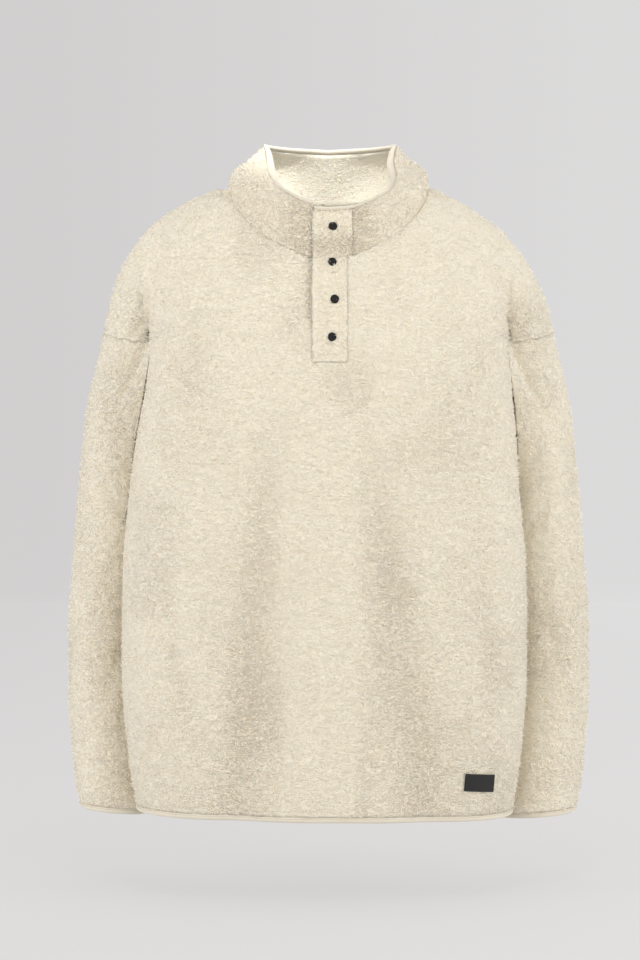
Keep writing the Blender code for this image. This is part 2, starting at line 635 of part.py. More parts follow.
def label(front):
    grid, _, _ = front
    cos, sin = math.cos(LABEL_TURN), math.sin(LABEL_TURN)
    face, normals = [], []
    for down in (1, 0, -1):
        row, row_normals = [], []
        for across in (-1, -0.33, 0.33, 1):
            x, z = across * LABEL_HALF[0], down * LABEL_HALF[1]
            place, normal = on_face(grid, LABEL_AT[0] + x * cos - z * sin, LABEL_AT[1] + x * sin + z * cos)
            row.append(place + normal * (LABEL_THICK + 3 * SEAM))
            row_normals.append(normal)
        face.append(row)
        normals.append(row_normals)
    wall("label", np.array(face), unit(np.array(normals)), LABEL_THICK, BLACK_WEAVE)


def edge_binding(name, edge, outward):
    """A band right below a hem or cuff, all round."""
    down = np.array((0, 0, -1.0))
    level = unit(outward * (1, 1, 0))
    upper = edge + down * SEAM - level * BINDING_INSET
    lower = upper + down * BINDING_HEIGHT
    wall(name, np.array([upper, lower]), np.array([level, level]), BINDING_THICK, KNIT_BINDING, ring=True)


def placket(name, right, left, left_on_collar, bottom, offset):
    face = strip_face(right, left, left_on_collar, bottom, COLLAR_LEVELS[1:])
    normals = grid_normals(face, 1)
    face = face + normals * offset
    wall(name, face, normals, CLOTH, FLEECE)
    return face


def collar_binding(panels):
    """The band on the collar's top: over the placket strip, then round to the placket's right side."""
    levels = (COLLAR_CLOTH_TOP + BINDING_SPACE, 1.0)
    strip = strip_face(
        PLACKET_RIGHT + FREE_EDGE_SPACE, PLACKET_LEFT, COLLAR_END_LEFT - SEAM, PLACKET_BOTTOM, levels
    )[-len(levels) :]
    round_neck = collar_face(panels, levels)
    face = np.concatenate([strip[:, :-1], round_neck], axis=1)
    normals = collar_normals(face)
    proud = np.full(face.shape[1], -BINDING_INSET)
    proud[:STRIP_CELLS] = STRIP_PROUD
    wall("collar_binding", face + normals * proud[:, None], normals, BINDING_THICK, KNIT_BINDING)


def build():
    for old in list(bpy.data.objects):
        bpy.data.objects.remove(old, do_unlink=True)
    panels = {side: panel(side) for side in (FRONT, BACK)}
    for side, name in ((FRONT, "front"), (BACK, "back")):
        points, normals, cells = panels[side]
        wall(name, points, normals, CLOTH, FLEECE, cells=cells)
    for sign, name in ((1, "left"), (-1, "right")):
        grid, normals = sleeve(panels, sign)
        wall(f"sleeve_{name}", grid, normals, CLOTH, FLEECE, ring=True)
        edge_binding(f"cuff_binding_{name}", grid[-1], normals[-1])
    hem = [np.concatenate([panels[FRONT][i][-1], panels[BACK][i][-1, ::-1]]) for i in (0, 1)]
    edge_binding("hem_binding", *hem)
    face = collar_face(panels, COLLAR_LEVELS)
    wall("collar", face, collar_normals(face), CLOTH, FLEECE)
    upper = placket(
        "placket_upper", PLACKET_RIGHT + FREE_EDGE_SPACE, PLACKET_LEFT - SEAM,
        COLLAR_END_LEFT - 3 * SEAM, PLACKET_BOTTOM - SEAM, STRIP_PROUD,
    )
    placket(
        "placket_under", UNDERLAP_RIGHT, UNDERLAP_LEFT, UNDERLAP_LEFT, UNDERLAP_BOTTOM,
        -CLOTH - 3 * SEAM,
    )
    collar_binding(panels)
    for number, (x, z) in enumerate(zip(SNAPS["x"], SNAPS["z"]), start=1):
        snap(f"snap_{number}", *on_face(upper, x, z))
    label(panels[FRONT])


build()
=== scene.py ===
"""Sherpa fleece pullover, filled out as worn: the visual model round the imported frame.

Metres, +Z up, +Y to the back, +X to the wearer's left. Heights are drops below the neck point. Every
cloth piece is a thin closed shell on the same form as its solid, with a nap pressed into its outer
face, finer creases, and separate bindings, snaps and label.
"""

import math
import bpy
import numpy as np
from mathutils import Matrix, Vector


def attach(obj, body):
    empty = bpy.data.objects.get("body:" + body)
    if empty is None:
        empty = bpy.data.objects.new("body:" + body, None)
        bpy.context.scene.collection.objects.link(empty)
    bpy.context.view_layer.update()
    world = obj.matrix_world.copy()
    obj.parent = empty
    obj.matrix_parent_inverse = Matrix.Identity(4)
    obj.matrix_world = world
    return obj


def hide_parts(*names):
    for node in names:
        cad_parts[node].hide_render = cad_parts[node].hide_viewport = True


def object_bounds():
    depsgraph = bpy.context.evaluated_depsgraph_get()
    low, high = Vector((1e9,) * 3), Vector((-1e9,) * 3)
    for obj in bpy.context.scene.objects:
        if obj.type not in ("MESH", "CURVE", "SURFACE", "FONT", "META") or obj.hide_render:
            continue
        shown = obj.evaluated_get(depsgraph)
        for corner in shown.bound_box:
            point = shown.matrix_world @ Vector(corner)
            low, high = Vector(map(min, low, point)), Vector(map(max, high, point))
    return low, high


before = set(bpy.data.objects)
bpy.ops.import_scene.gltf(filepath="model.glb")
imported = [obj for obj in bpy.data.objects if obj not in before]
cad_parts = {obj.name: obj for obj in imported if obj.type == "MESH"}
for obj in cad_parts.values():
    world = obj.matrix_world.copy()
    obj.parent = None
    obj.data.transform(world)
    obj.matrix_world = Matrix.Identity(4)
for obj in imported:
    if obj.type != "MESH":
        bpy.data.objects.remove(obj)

CAD_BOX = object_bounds()

CLOTH, SEAM = 0.004, 0.0003
FRONT, BACK = -1, 1

NECK_HALF, NECK_TOP, NECK_RISE = 0.113, -0.004, 0.001
FRONT_NECK_DROP, FRONT_NECK_CURVE = 0.0835, 1.65
BACK_NECK_DROP, BACK_NECK_FLAT = 0.008, 0.0125
NECK_MIDDLE_Y, NECK_DEEP = -0.010, 0.095
SHOULDER_END, FOLD_DROP = 0.154, 0.170
FOLD_X = {FRONT: 0.200, BACK: 0.168}
UNDERARM, SIDE_Y, SHOULDER_Y = 0.270, 0.010, 0.030
HEM = 0.696
PLACKET_RIGHT, PLACKET_LEFT, PLACKET_BOTTOM = -0.0177, 0.0192, 0.1974
COLLAR_END_LEFT, STRIP_PROUD, FREE_EDGE_SPACE = 0.0255, 0.0010, 0.0010
UNDERLAP_RIGHT, UNDERLAP_LEFT, UNDERLAP_BOTTOM = -0.0260, 0.0140, 0.190
COLLAR_CLOTH_TOP, COLLAR_LIFT = 0.90, 0.85
BINDING_HEIGHT, BINDING_THICK, BINDING_INSET = 0.0062, 0.0030, 0.0005
LABEL_HALF, LABEL_THICK = (0.0165, 0.0095), 0.0010
LABEL_AT, LABEL_TURN = (0.1655, -0.660), math.radians(-5)
TORSO_POWER, FALL_AWAY, FOLD_RISE = 2.667, 1.5, 0.008
PARTED, ARMPIT_ROUND = (0.080, 0.165), (0.030, 0.004)
LEAN, LEAN_FROM, LEAN_OVER = -0.005, 0.200, 0.150
LEFT_FALL, LEFT_FALL_FROM, LEFT_FALL_OVER, LEFT_FALL_DROPS = 0.0135, 0.105, 0.045, (0.005, 0.155)
HEM_SLOPE, HEM_SLOPE_FROM = 0.011, 0.540
CUFF_DROP, CUFF_TILT = {-1: 0.7045, 1: 0.709}, 0.003
UNDERARM_TURN, TUBE_FROM, TORSO_CLEARANCE = 170, 0.22, 0.008

SHOULDER_ROWS = (-0.004, 0.004, 0.014, 0.027, 0.043, 0.060, 0.0735, 0.0805, 0.100, 0.120, 0.138)
FOLD_STEPS, UNDERARM_STEPS = 5, 6
SIDE_ROWS = (0.310, 0.360, 0.420, 0.480, 0.540, 0.600, 0.650, HEM)
BACK_NECK_X = (0.113, 0.099, 0.080, 0.056, 0.030, BACK_NECK_FLAT)
ARMHOLE_FIRST = len(SHOULDER_ROWS)
ARMHOLE_LAST = ARMHOLE_FIRST + FOLD_STEPS + UNDERARM_STEPS
FRONT_NECK_LAST = 7
PLACKET_LAST = ARMHOLE_FIRST + FOLD_STEPS + 1
LEVEL_FIRST = ARMHOLE_LAST + 1

HALF_CELLS = 98  # fine cells across each half of a panel
MIDDLE_CELLS = 12  # and across the placket's width
STRIP_CELLS = 14  # across a placket strip
STRIP_BODY_CELLS = 52  # along a strip, below the collar
SLEEVE_CELLS = 212  # along a sleeve


def table(names, *rows):
    return dict(zip(names.split(), np.array(rows, float).T))


OUTLINE = table(
    "drop half_width",
    (-0.004, 0.130), (0.003, 0.145), (0.010, 0.160), (0.017, 0.171), (0.026, 0.186),
    (0.044, 0.208), (0.063, 0.2235), (0.081, 0.2345), (0.099, 0.2425), (0.117, 0.249),
    (0.136, 0.2535), (0.154, 0.257), (0.172, 0.261), (0.209, 0.270), (0.245, 0.279),
    (0.282, 0.2835), (0.355, 0.292), (0.428, 0.2985), (0.500, 0.3035), (0.573, 0.3035),
    (0.646, 0.2985), (0.683, 0.294), (0.720, 0.2865),
)
TORSO = table(
    "drop half_width front back",
    (-0.004, 0.150, 0.000, 0.000), (0.000, 0.155, 0.020, 0.045), (0.004, 0.160, 0.034, 0.065),
    (0.008, 0.165, 0.048, 0.078), (0.014, 0.170, 0.062, 0.082), (0.027, 0.178, 0.0725, 0.087),
    (0.043, 0.186, 0.0855, 0.093), (0.063, 0.192, 0.098, 0.099), (0.0835, 0.197, 0.1055, 0.104),
    (0.120, 0.203, 0.117, 0.110), (0.173, 0.206, 0.127, 0.115), (0.225, 0.210, 0.132, 0.114),
    (0.280, 0.216, 0.134, 0.111), (0.355, 0.223, 0.133, 0.106), (0.420, 0.2286, 0.132, 0.103),
    (0.490, 0.230, 0.130, 0.102), (0.550, 0.230, 0.128, 0.102), (0.610, 0.226, 0.126, 0.103),
    (0.650, 0.2215, 0.125, 0.104), (0.690, 0.2155, 0.123, 0.104), (0.710, 0.212, 0.122, 0.104),
)
ARM = table(
    "drop half_across half_deep middle",
    (0.080, 0.034, 0.055, 0.018), (0.154, 0.040, 0.062, 0.030), (0.270, 0.0450, 0.066, 0.052),
    (0.350, 0.0480, 0.064, 0.070), (0.450, 0.0500, 0.063, 0.082), (0.600, 0.0500, 0.060, 0.085),
    (0.720, 0.0485, 0.056, 0.080),
)
COLLAR_TOP = table(
    "turn right left y z_right z_left bulge",
    (0, 0.000, 0.000, -0.0870, -0.0190, -0.0245, 0.004),
    (10, 0.0190, 0.0195, -0.0860, -0.0165, -0.0232, 0.004),
    (17, 0.0280, 0.0306, -0.0830, -0.0135, -0.0205, 0.005),
    (26, 0.0355, 0.0410, -0.0770, -0.0095, -0.0158, 0.007),
    (35, 0.0425, 0.0510, -0.0700, -0.0050, -0.0105, 0.010),
    (50, 0.051, 0.0640, -0.0560, 0.0015, -0.0020, 0.015),
    (75, 0.058, 0.069, -0.0300, 0.0150, 0.0140, 0.023),
    (100, 0.062, 0.066, 0.0000, 0.0340, 0.0340, 0.030),
    (125, 0.0675, 0.0715, 0.0240, 0.0530, 0.0530, 0.033),
    (140, 0.0730, 0.0765, 0.0380, 0.0610, 0.0610, 0.030),
    (156, 0.052, 0.054, 0.0480, 0.0590, 0.0590, 0.016),
    (180, 0.000, 0.000, 0.0545, 0.0565, 0.0565, 0.004),
)
FOLDS = table(  # the large soft troughs and ridges of the form, as the solids have them
    "side x_top drop_top x_low drop_low half_width depth",
    (FRONT, -0.057, 0.235, -0.096, 0.690, 0.030, 0.0075),
    (FRONT, 0.038, 0.235, 0.112, 0.690, 0.032, 0.0085),
    (FRONT, 0.002, 0.215, -0.022, 0.690, 0.026, -0.0030),
    (BACK, -0.105, 0.270, -0.085, 0.690, 0.034, 0.0070),
    (BACK, 0.080, 0.240, 0.108, 0.690, 0.030, 0.0060),
    (BACK, 0.010, 0.330, 0.018, 0.690, 0.032, 0.0045),
)
CREASES = table(  # smaller soft creases, which fade at both ends
    "side x_top drop_top x_low drop_low half_width depth",
    (FRONT, 0.186, 0.182, 0.120, 0.262, 0.010, 0.0030),
    (FRONT, 0.196, 0.215, 0.150, 0.330, 0.012, 0.0026),
    (FRONT, -0.186, 0.176, -0.128, 0.250, 0.010, 0.0028),
    (FRONT, -0.198, 0.220, -0.158, 0.345, 0.012, 0.0026),
    (FRONT, -0.170, 0.420, -0.150, 0.660, 0.016, 0.0024),
    (FRONT, 0.182, 0.400, 0.170, 0.600, 0.015, 0.0020),
    (FRONT, 0.060, 0.470, 0.052, 0.690, 0.014, 0.0022),
    (FRONT, -0.040, 0.520, -0.052, 0.690, 0.013, 0.0016),
    (BACK, 0.160, 0.176, 0.100, 0.275, 0.012, 0.0032),
    (BACK, 0.186, 0.215, 0.140, 0.350, 0.013, 0.0026),
    (BACK, -0.158, 0.178, -0.105, 0.265, 0.012, 0.0030),
    (BACK, -0.188, 0.220, -0.150, 0.335, 0.013, 0.0026),
    (BACK, -0.035, 0.300, -0.045, 0.560, 0.018, 0.0022),
    (BACK, 0.150, 0.430, 0.160, 0.690, 0.016, 0.0024),
    (BACK, -0.150, 0.450, -0.148, 0.680, 0.015, 0.0022),
)
SLEEVE_CREASES = table(  # turns are in degrees round the front, from the outer side
    "sign turn_top drop_top turn_low drop_low half_width depth",
    (1, 60, 0.330, 120, 0.400, 0.011, 0.0032), (1, 20, 0.400, 75, 0.470, 0.012, 0.0024),
    (1, 110, 0.470, 60, 0.560, 0.012, 0.0022), (1, 230, 0.350, 300, 0.450, 0.013, 0.0030),
    (1, 300, 0.480, 240, 0.590, 0.012, 0.0024), (1, 30, 0.600, 80, 0.660, 0.011, 0.0018),
    (-1, 65, 0.320, 125, 0.385, 0.011, 0.0034), (-1, 15, 0.420, 80, 0.480, 0.012, 0.0022),
    (-1, 115, 0.500, 70, 0.600, 0.012, 0.0024), (-1, 240, 0.340, 305, 0.430, 0.013, 0.0028),
    (-1, 290, 0.500, 235, 0.600, 0.012, 0.0026), (-1, 25, 0.620, 75, 0.670, 0.010, 0.0016),
)


# ---- the form, as in the solids ----------------------------------------------------------------


def smooth_step(value):
    value = np.clip(value, 0.0, 1.0)
    return value * value * (3 - 2 * value)


def smooth_larger(first, second, roundness):
    near = np.maximum(roundness - np.abs(first - second), 0) / roundness
    return np.maximum(first, second) + near * near * roundness / 4


def read(columns, name, at):
    """A column anywhere along its table, on a smooth curve through the rows that never overshoots."""
    known, value = list(columns.values())[0], columns[name]
    at = np.clip(at, known[0], known[-1])
    slope = np.diff(value) / np.diff(known)
    same_way = slope[1:] * slope[:-1] > 0
    total = np.where(same_way, slope[1:] + slope[:-1], 1)
    inner = np.where(same_way, 2 * slope[1:] * slope[:-1] / total, 0)
    tangent = np.concatenate([slope[:1], inner, slope[-1:]])
    row = np.clip(np.searchsorted(known, at, side="right") - 1, 0, len(known) - 2)
    span = known[row + 1] - known[row]
    t = (at - known[row]) / span
    rise = value[row] * (1 + 2 * t) * (1 - t) ** 2 + value[row + 1] * t * t * (3 - 2 * t)
    return rise + span * t * (1 - t) * ((1 - t) * tangent[row] - t * tangent[row + 1])


def side_depth(drop, side):
    return read(TORSO, "front" if side == FRONT else "back", drop)


def torso_y(x, drop, side):
    half = read(TORSO, "half_width", drop)
    deep = side_depth(drop, side) - side * SIDE_Y
    inside = (1 - np.minimum(np.abs(x) / half, 1) ** TORSO_POWER) ** (1 / TORSO_POWER)
    beyond = np.maximum(np.abs(x) - half, 0)
    return SIDE_Y + side * (deep * inside - FALL_AWAY * beyond)


def arm_y(x, drop, side):
    across = read(ARM, "half_across", drop)
    middle_x = read(OUTLINE, "half_width", drop) - across
    inside = np.sqrt(1 - np.minimum(((np.abs(x) - middle_x) / across) ** 2, 1))
    return read(ARM, "middle", drop) + side * read(ARM, "half_deep", drop) * inside


def shoulder_y(x, drop, side):
    share = np.clip(np.abs(x) / read(OUTLINE, "half_width", drop), 0, 1)
    ridge = SHOULDER_Y * smooth_step(drop / SHOULDER_END)
    lens = ridge * share**2 + side * side_depth(drop, side) * np.sqrt(1 - share**2)
    parted = smooth_step((drop - PARTED[0]) / (PARTED[1] - PARTED[0]))
    roundness = ARMPIT_ROUND[0] + (ARMPIT_ROUND[1] - ARMPIT_ROUND[0]) * parted
    joined = side * smooth_larger(
        side * torso_y(x, drop, side), side * arm_y(x, drop, side), roundness
    )
    return lens + (joined - lens) * parted


def trough(across, along, width, most, fade):
    """Depth of one soft trough; it starts over the first part of its length and may fade at the end."""
    shape = smooth_step(along / 0.45)
    if fade:
        shape = smooth_step(along / 0.35) * smooth_step((1 - along) / 0.35)
    return most * shape * np.exp(-((across / width) ** 2))


def fold_depth(x, drop, side):
    depth = np.zeros(np.broadcast(x, drop).shape)
    for source, fade in ((FOLDS, False), (CREASES, True)):
        for fold_side, x_top, top, x_low, low, half_width, most in zip(*source.values()):
            if fold_side != side:
                continue
            along = (drop - top) / (low - top)
            bend = 0.006 * np.sin(along * 5 + x_top * 90) if fade else 0
            middle = x_top + (x_low - x_top) * along + bend
            width = half_width * (0.6 + 0.4 * np.clip(along, 0, 1))
            depth += trough(x - middle, along, width, most, fade)
    return depth


def lean(drop):
    return LEAN * smooth_step((drop - LEAN_FROM) / LEAN_OVER)


def shift(x, drop):
    """How far the cloth lies to the left of an even form: the torso's lean and the left shoulder."""
    top, low = LEFT_FALL_DROPS
    beside = smooth_step((x - LEFT_FALL_FROM) / LEFT_FALL_OVER)
    return lean(drop) - LEFT_FALL * beside * (1 - smooth_step((drop - top) / (low - top)))


def hem_fall(x, drop):
    """The hem hangs lower on the wearer's left."""
    return HEM_SLOPE * x * smooth_step((drop - HEM_SLOPE_FROM) / (HEM - HEM_SLOPE_FROM))


def unit(vectors):
    return vectors / np.linalg.norm(vectors, axis=-1, keepdims=True)


def grid_normals(grid, flip):
    down, across = np.gradient(grid, axis=0), np.gradient(grid, axis=1)
    return unit(np.cross(across, down) * flip)


# ---- fine grids of the front and back ----------------------------------------------------------


ROW_CELLS = [8] * ARMHOLE_FIRST + [6] * FOLD_STEPS + [8] * UNDERARM_STEPS
ROW_CELLS += [16, 20, 24, 24, 24, 24, 20, 18]
ROW_STARTS = np.concatenate([[0], np.cumsum(ROW_CELLS)])
ROW_AT = np.concatenate(
    [[0.0]] + [row + np.arange(1, count + 1) / count for row, count in enumerate(ROW_CELLS)]
)  # for each fine row, its place among the solids' rows


def outer_ends(side):
    """(drop, reach, on the torso) of each fine row's outer end: shoulder, armhole, side seam."""
    fold_from, fold_to = ARMHOLE_FIRST, ARMHOLE_FIRST + FOLD_STEPS
    known = list(SHOULDER_ROWS) + [SHOULDER_END] + [FOLD_DROP] + [UNDERARM] + list(SIDE_ROWS)
    known_at = list(range(ARMHOLE_FIRST + 1)) + [fold_to, ARMHOLE_LAST]
    known_at += list(range(LEVEL_FIRST, LEVEL_FIRST + len(SIDE_ROWS)))
    drop = np.interp(ROW_AT, known_at, known)
    reach = read(OUTLINE, "half_width", drop)
    folding = (ROW_AT > fold_from) & (ROW_AT <= fold_to)
    turn = math.pi / 2 * (ROW_AT - fold_from) / FOLD_STEPS
    reach = np.where(folding, FOLD_X[side] + (reach - FOLD_X[side]) * np.cos(turn), reach)
    below = (ROW_AT > fold_to) & (ROW_AT <= ARMHOLE_LAST)
    turn = math.pi / 2 * (ROW_AT - fold_to) / UNDERARM_STEPS
    drop = np.where(below, FOLD_DROP + (UNDERARM - FOLD_DROP) * np.sin(turn), drop)
    fold_y = float(torso_y(FOLD_X[side], FOLD_DROP, side)) - SIDE_Y
    out_of_depth = abs(fold_y) * np.cos(turn) / (side_depth(drop, side) - side * SIDE_Y)
    share = (1 - np.clip(out_of_depth, 0, 1) ** TORSO_POWER) ** (1 / TORSO_POWER)
    reach = np.where(below, read(TORSO, "half_width", drop) * share, reach)
    level = ROW_AT > ARMHOLE_LAST
    reach = np.where(level, read(TORSO, "half_width", drop), reach)
    return drop, reach, ROW_AT > fold_to


def front_neck_drop(x):
    share = 1 - (np.abs(x) / NECK_HALF) ** FRONT_NECK_CURVE
    return NECK_TOP + (FRONT_NECK_DROP - NECK_TOP) * share ** (1 / FRONT_NECK_CURVE)


def inner_ends(side, sign):
    """(drop, x) of each fine row's inner end: on the neck seam, then at the placket or the middle."""
    fold_row = (ARMHOLE_FIRST + FOLD_STEPS, FOLD_DROP - FOLD_RISE)
    if side == FRONT:
        edge = abs(PLACKET_LEFT if sign > 0 else PLACKET_RIGHT)
        neck_at = np.arange(FRONT_NECK_LAST + 1)
        neck_drop = list(SHOULDER_ROWS[:FRONT_NECK_LAST]) + [float(front_neck_drop(edge))]
        neck_drop[0] -= NECK_RISE
        stops = [fold_row, (PLACKET_LAST, PLACKET_BOTTOM)]
    else:
        edge = BACK_NECK_FLAT
        neck_at = np.arange(len(BACK_NECK_X))
        across = (np.array(BACK_NECK_X) - edge) / (NECK_HALF - edge)
        neck_drop = list(BACK_NECK_DROP + (NECK_TOP - BACK_NECK_DROP) * across**2)
        neck_drop[0] -= NECK_RISE
        stops = [fold_row]
    stops += [(LEVEL_FIRST + row, drop) for row, drop in enumerate(SIDE_ROWS)]
    known_at = list(neck_at) + [at for at, _ in stops]
    drop = np.interp(ROW_AT, known_at, neck_drop + [low for _, low in stops])
    if side == FRONT:
        down = np.clip((drop - NECK_TOP) / (FRONT_NECK_DROP - NECK_TOP), 0, 1)
        x = NECK_HALF * (1 - down**FRONT_NECK_CURVE) ** (1 / FRONT_NECK_CURVE)
        return drop, np.where(ROW_AT < neck_at[-1], np.maximum(x, edge), edge)
    return drop, np.interp(ROW_AT, neck_at, BACK_NECK_X)


def surface(x, drop, side, torso_share):
    """Points of the panel's outer face over x and drop."""
    y = shoulder_y(x, drop, side)
    y = y + (torso_y(x, drop, side) - y) * torso_share
    y = y - side * fold_depth(x, drop, side) + side * SEAM / 2
    return np.stack([x + shift(x, drop), y, -drop - hem_fall(x, drop)], axis=-1)


def panel(side):
    """Points of the outer face, its normals, and the cells that are cloth."""
    drop_out, reach, on_torso = outer_ends(side)
    even = np.linspace(0, 1, HALF_CELLS + 1)
    spread = np.sin(math.pi / 2 * even)
    x, drops = {}, {}
    for sign in (-1, 1):
        drop_in, x_in = inner_ends(side, sign)
        drops[sign] = drop_in[:, None] + (drop_out - drop_in)[:, None] * even
        half = np.where(
            on_torso[:, None],
            read(TORSO, "half_width", drops[sign]),
            read(OUTLINE, "half_width", drops[sign]),
        )
        start, end = x_in / half[:, 0], reach / half[:, -1]
        x[sign] = sign * (start[:, None] + (end - start)[:, None] * spread) * half
    between = np.linspace(0, 1, MIDDLE_CELLS + 1)[1:-1]
    middle_x = x[-1][:, :1] + (x[1][:, :1] - x[-1][:, :1]) * between
    middle_drop = drops[-1][:, :1] + (drops[1][:, :1] - drops[-1][:, :1]) * between
    all_x = np.concatenate([x[-1][:, ::-1], middle_x, x[1]], axis=1)
    all_drop = np.concatenate([drops[-1][:, ::-1], middle_drop, drops[1]], axis=1)
    points = surface(all_x, all_drop, side, on_torso[:, None] * 1.0)
    normals = grid_normals(points, side)
    step = 0.001
    for column, sign in ((0, -1), (-1, 1)):
        for columns, chosen in ((TORSO, ROW_AT >= ARMHOLE_LAST), (OUTLINE, ROW_AT <= ARMHOLE_FIRST)):
            widening = read(columns, "half_width", drop_out + step)
            widening = (widening - read(columns, "half_width", drop_out)) / step
            facing = np.stack([np.full_like(widening, sign), 0 * widening, widening], axis=-1)
            normals[chosen, column] = facing[chosen]
    normals[0] = (0, 0, 1)
    normals[-1, :, 2] = 0
    cells = np.ones((points.shape[0] - 1, points.shape[1] - 1), bool)
    cut = ROW_STARTS[PLACKET_LAST if side == FRONT else len(BACK_NECK_X) - 1]
    cells[:cut, HALF_CELLS : HALF_CELLS + MIDDLE_CELLS] = False
    return points, unit(normals), cells


# ---- fine grids of the sleeves, collar and strips ----------------------------------------------


def away_from_torso(points, clearance):
    drop = -points[..., 2]
    half = read(TORSO, "half_width", drop)
    middle_x = lean(drop)
    behind = points[..., 1] > SIDE_Y
    deep = np.where(behind, side_depth(drop, BACK) - SIDE_Y, side_depth(drop, FRONT) + SIDE_Y)
    across = (points[..., 0] - middle_x) / half
    along = (points[..., 1] - SIDE_Y) / deep
    out = (np.abs(across) ** TORSO_POWER + np.abs(along) ** TORSO_POWER) ** (1 / TORSO_POWER)
    scale = np.where(out < 1 + clearance, (1 + clearance) / out, 1)
    moved = points.copy()
    moved[..., 0] = middle_x + across * half * scale
    moved[..., 1] = SIDE_Y + along * deep * scale
    return moved


def armhole_ring(panels, sign):
    """The armhole seam as a ring from the shoulder's end round the front, and each point's place on it."""
    column = -1 if sign > 0 else 0
    rows = np.arange(ROW_STARTS[ARMHOLE_FIRST], ROW_STARTS[ARMHOLE_LAST] + 1)
    points, outwards = [], []
    for side, order in ((FRONT, rows), (BACK, rows[::-1])):
        grid, outward, _ = panels[side]
        edge = grid[order, column]
        across = -sign * np.cross(unit(np.gradient(edge, axis=0)), outward[order, column])
        points.append(edge + SEAM * unit(across))
        outwards.append(outward[order, column])
    ring = np.concatenate([points[0][:-1], points[1][:-1]])
    outward = np.concatenate([outwards[0][:-1], outwards[1][:-1]])
    last = len(rows) - 1
    ring[0] = (points[0][0] + points[1][-1]) / 2
    ring[last] = (points[0][-1] + points[1][0]) / 2
    ring[[0, last], 2] = -SHOULDER_END - SEAM, -UNDERARM
    outward[last] = (sign, 0, 0)
    below = smooth_step((-ring[:, 2] - FOLD_DROP) / (UNDERARM - FOLD_DROP) / 0.2)[:, None]
    steps = ROW_AT[rows] - ARMHOLE_FIRST
    at = np.concatenate([steps[:-1], 2 * steps[-1] - steps[::-1][:-1]])
    return ring + below * 3 * SEAM * outward, at


def tube_angles(ring, sign):
    drop = -ring[:, 2]
    across = read(ARM, "half_across", drop)
    beside = (sign * ring[:, 0] - read(OUTLINE, "half_width", drop) + across) / across
    behind = (ring[:, 1] - read(ARM, "middle", drop)) / read(ARM, "half_deep", drop)
    angles = np.unwrap(-np.arctan2(behind, beside))
    return angles - angles[0]


def tube_points(angles, drop, sign):
    across = read(ARM, "half_across", drop)
    x = read(OUTLINE, "half_width", drop) - across + across * np.cos(angles)
    y = read(ARM, "middle", drop) - read(ARM, "half_deep", drop) * np.sin(angles)
    return np.stack([sign * x, y, -drop], axis=-1)


def sleeve(panels, sign):
    """A tube from the armhole to the cuff: its rings and their normals."""
    ring, at = armhole_ring(panels, sign)
    start = tube_angles(ring, sign)
    whole = 2 * (FOLD_STEPS + UNDERARM_STEPS)
    even = np.interp(at, [0, whole / 2, whole], np.radians([0, UNDERARM_TURN, 360]))
    offset = ring - tube_points(start, -ring[:, 2], sign)
    share = np.linspace(0, 1, SLEEVE_CELLS + 1)[:, None]
    eased = smooth_step(share / TUBE_FROM)
    angles = start + (even - start) * eased
    cuff = CUFF_DROP[sign] - CUFF_TILT * np.cos(angles)
    drop = -ring[:, 2] + (cuff + ring[:, 2]) * share
    points = tube_points(angles, drop, sign) + offset * (1 - eased)[..., None]
    clearance = TORSO_CLEARANCE * np.minimum(share / 0.03, 1)
    grid = away_from_torso(points, clearance * np.ones_like(angles))
    grid[0] = ring
    normals = ring_normals(grid, sign)
    depth = np.zeros_like(angles)
    degrees = np.degrees(angles) % 360
    for sleeve_sign, turn_top, top, turn_low, low, half_width, most in zip(*SLEEVE_CREASES.values()):
        if sleeve_sign != sign:
            continue
        along = (drop - top) / (low - top)
        middle = turn_top + (turn_low - turn_top) * along + 6 * np.sin(along * 4 + top * 50)
        off_turn = (degrees - middle + 180) % 360 - 180
        across = np.radians(off_turn) * read(ARM, "half_deep", drop)
        slant = math.cos(math.atan2(math.radians(turn_low - turn_top) * 0.06, low - top))
        depth += trough(across * slant, along, half_width, most, True)
    grid = away_from_torso(grid - normals * depth[..., None], clearance * np.ones_like(angles))
    grid[0] = ring
    normals = ring_normals(grid, sign)
    normals[-1] = unit(normals[-1] * (1, 1, 0))
    return grid, normals


def ring_normals(grid, flip):
    closed = np.concatenate([grid[:, -1:], grid, grid[:, :1]], axis=1)
    return grid_normals(closed, flip)[:, 1:-1]


def collar_point(base, height, lapped=False):
    """Points of the collar's outer face above points of the neck seam, at a share of its height."""
    x, y = base[..., 0], base[..., 1]
    turn = np.degrees(np.arctan2(np.abs(x) / NECK_HALF, (NECK_MIDDLE_Y - y) / NECK_DEEP))
    reach = np.where(x > 0, read(COLLAR_TOP, "left", turn), -read(COLLAR_TOP, "right", turn))
    right_z, left_z = read(COLLAR_TOP, "z_right", turn), read(COLLAR_TOP, "z_left", turn)
    top_z = np.where((x > 0) | lapped, left_z, right_z)
    top = np.stack([reach, read(COLLAR_TOP, "y", turn), top_z], axis=-1)
    outward = unit(np.stack([x / NECK_HALF**2, (y - NECK_MIDDLE_Y) / NECK_DEEP**2, 0 * x], axis=-1))
    bulge = read(COLLAR_TOP, "bulge", turn)[..., None]
    halfway = (base + top) / 2 + bulge * (outward + np.array((0, 0, COLLAR_LIFT)))
    start, middle, end = (1 - height) ** 2, 2 * height * (1 - height), height**2
    return start * base + middle * halfway + end * top


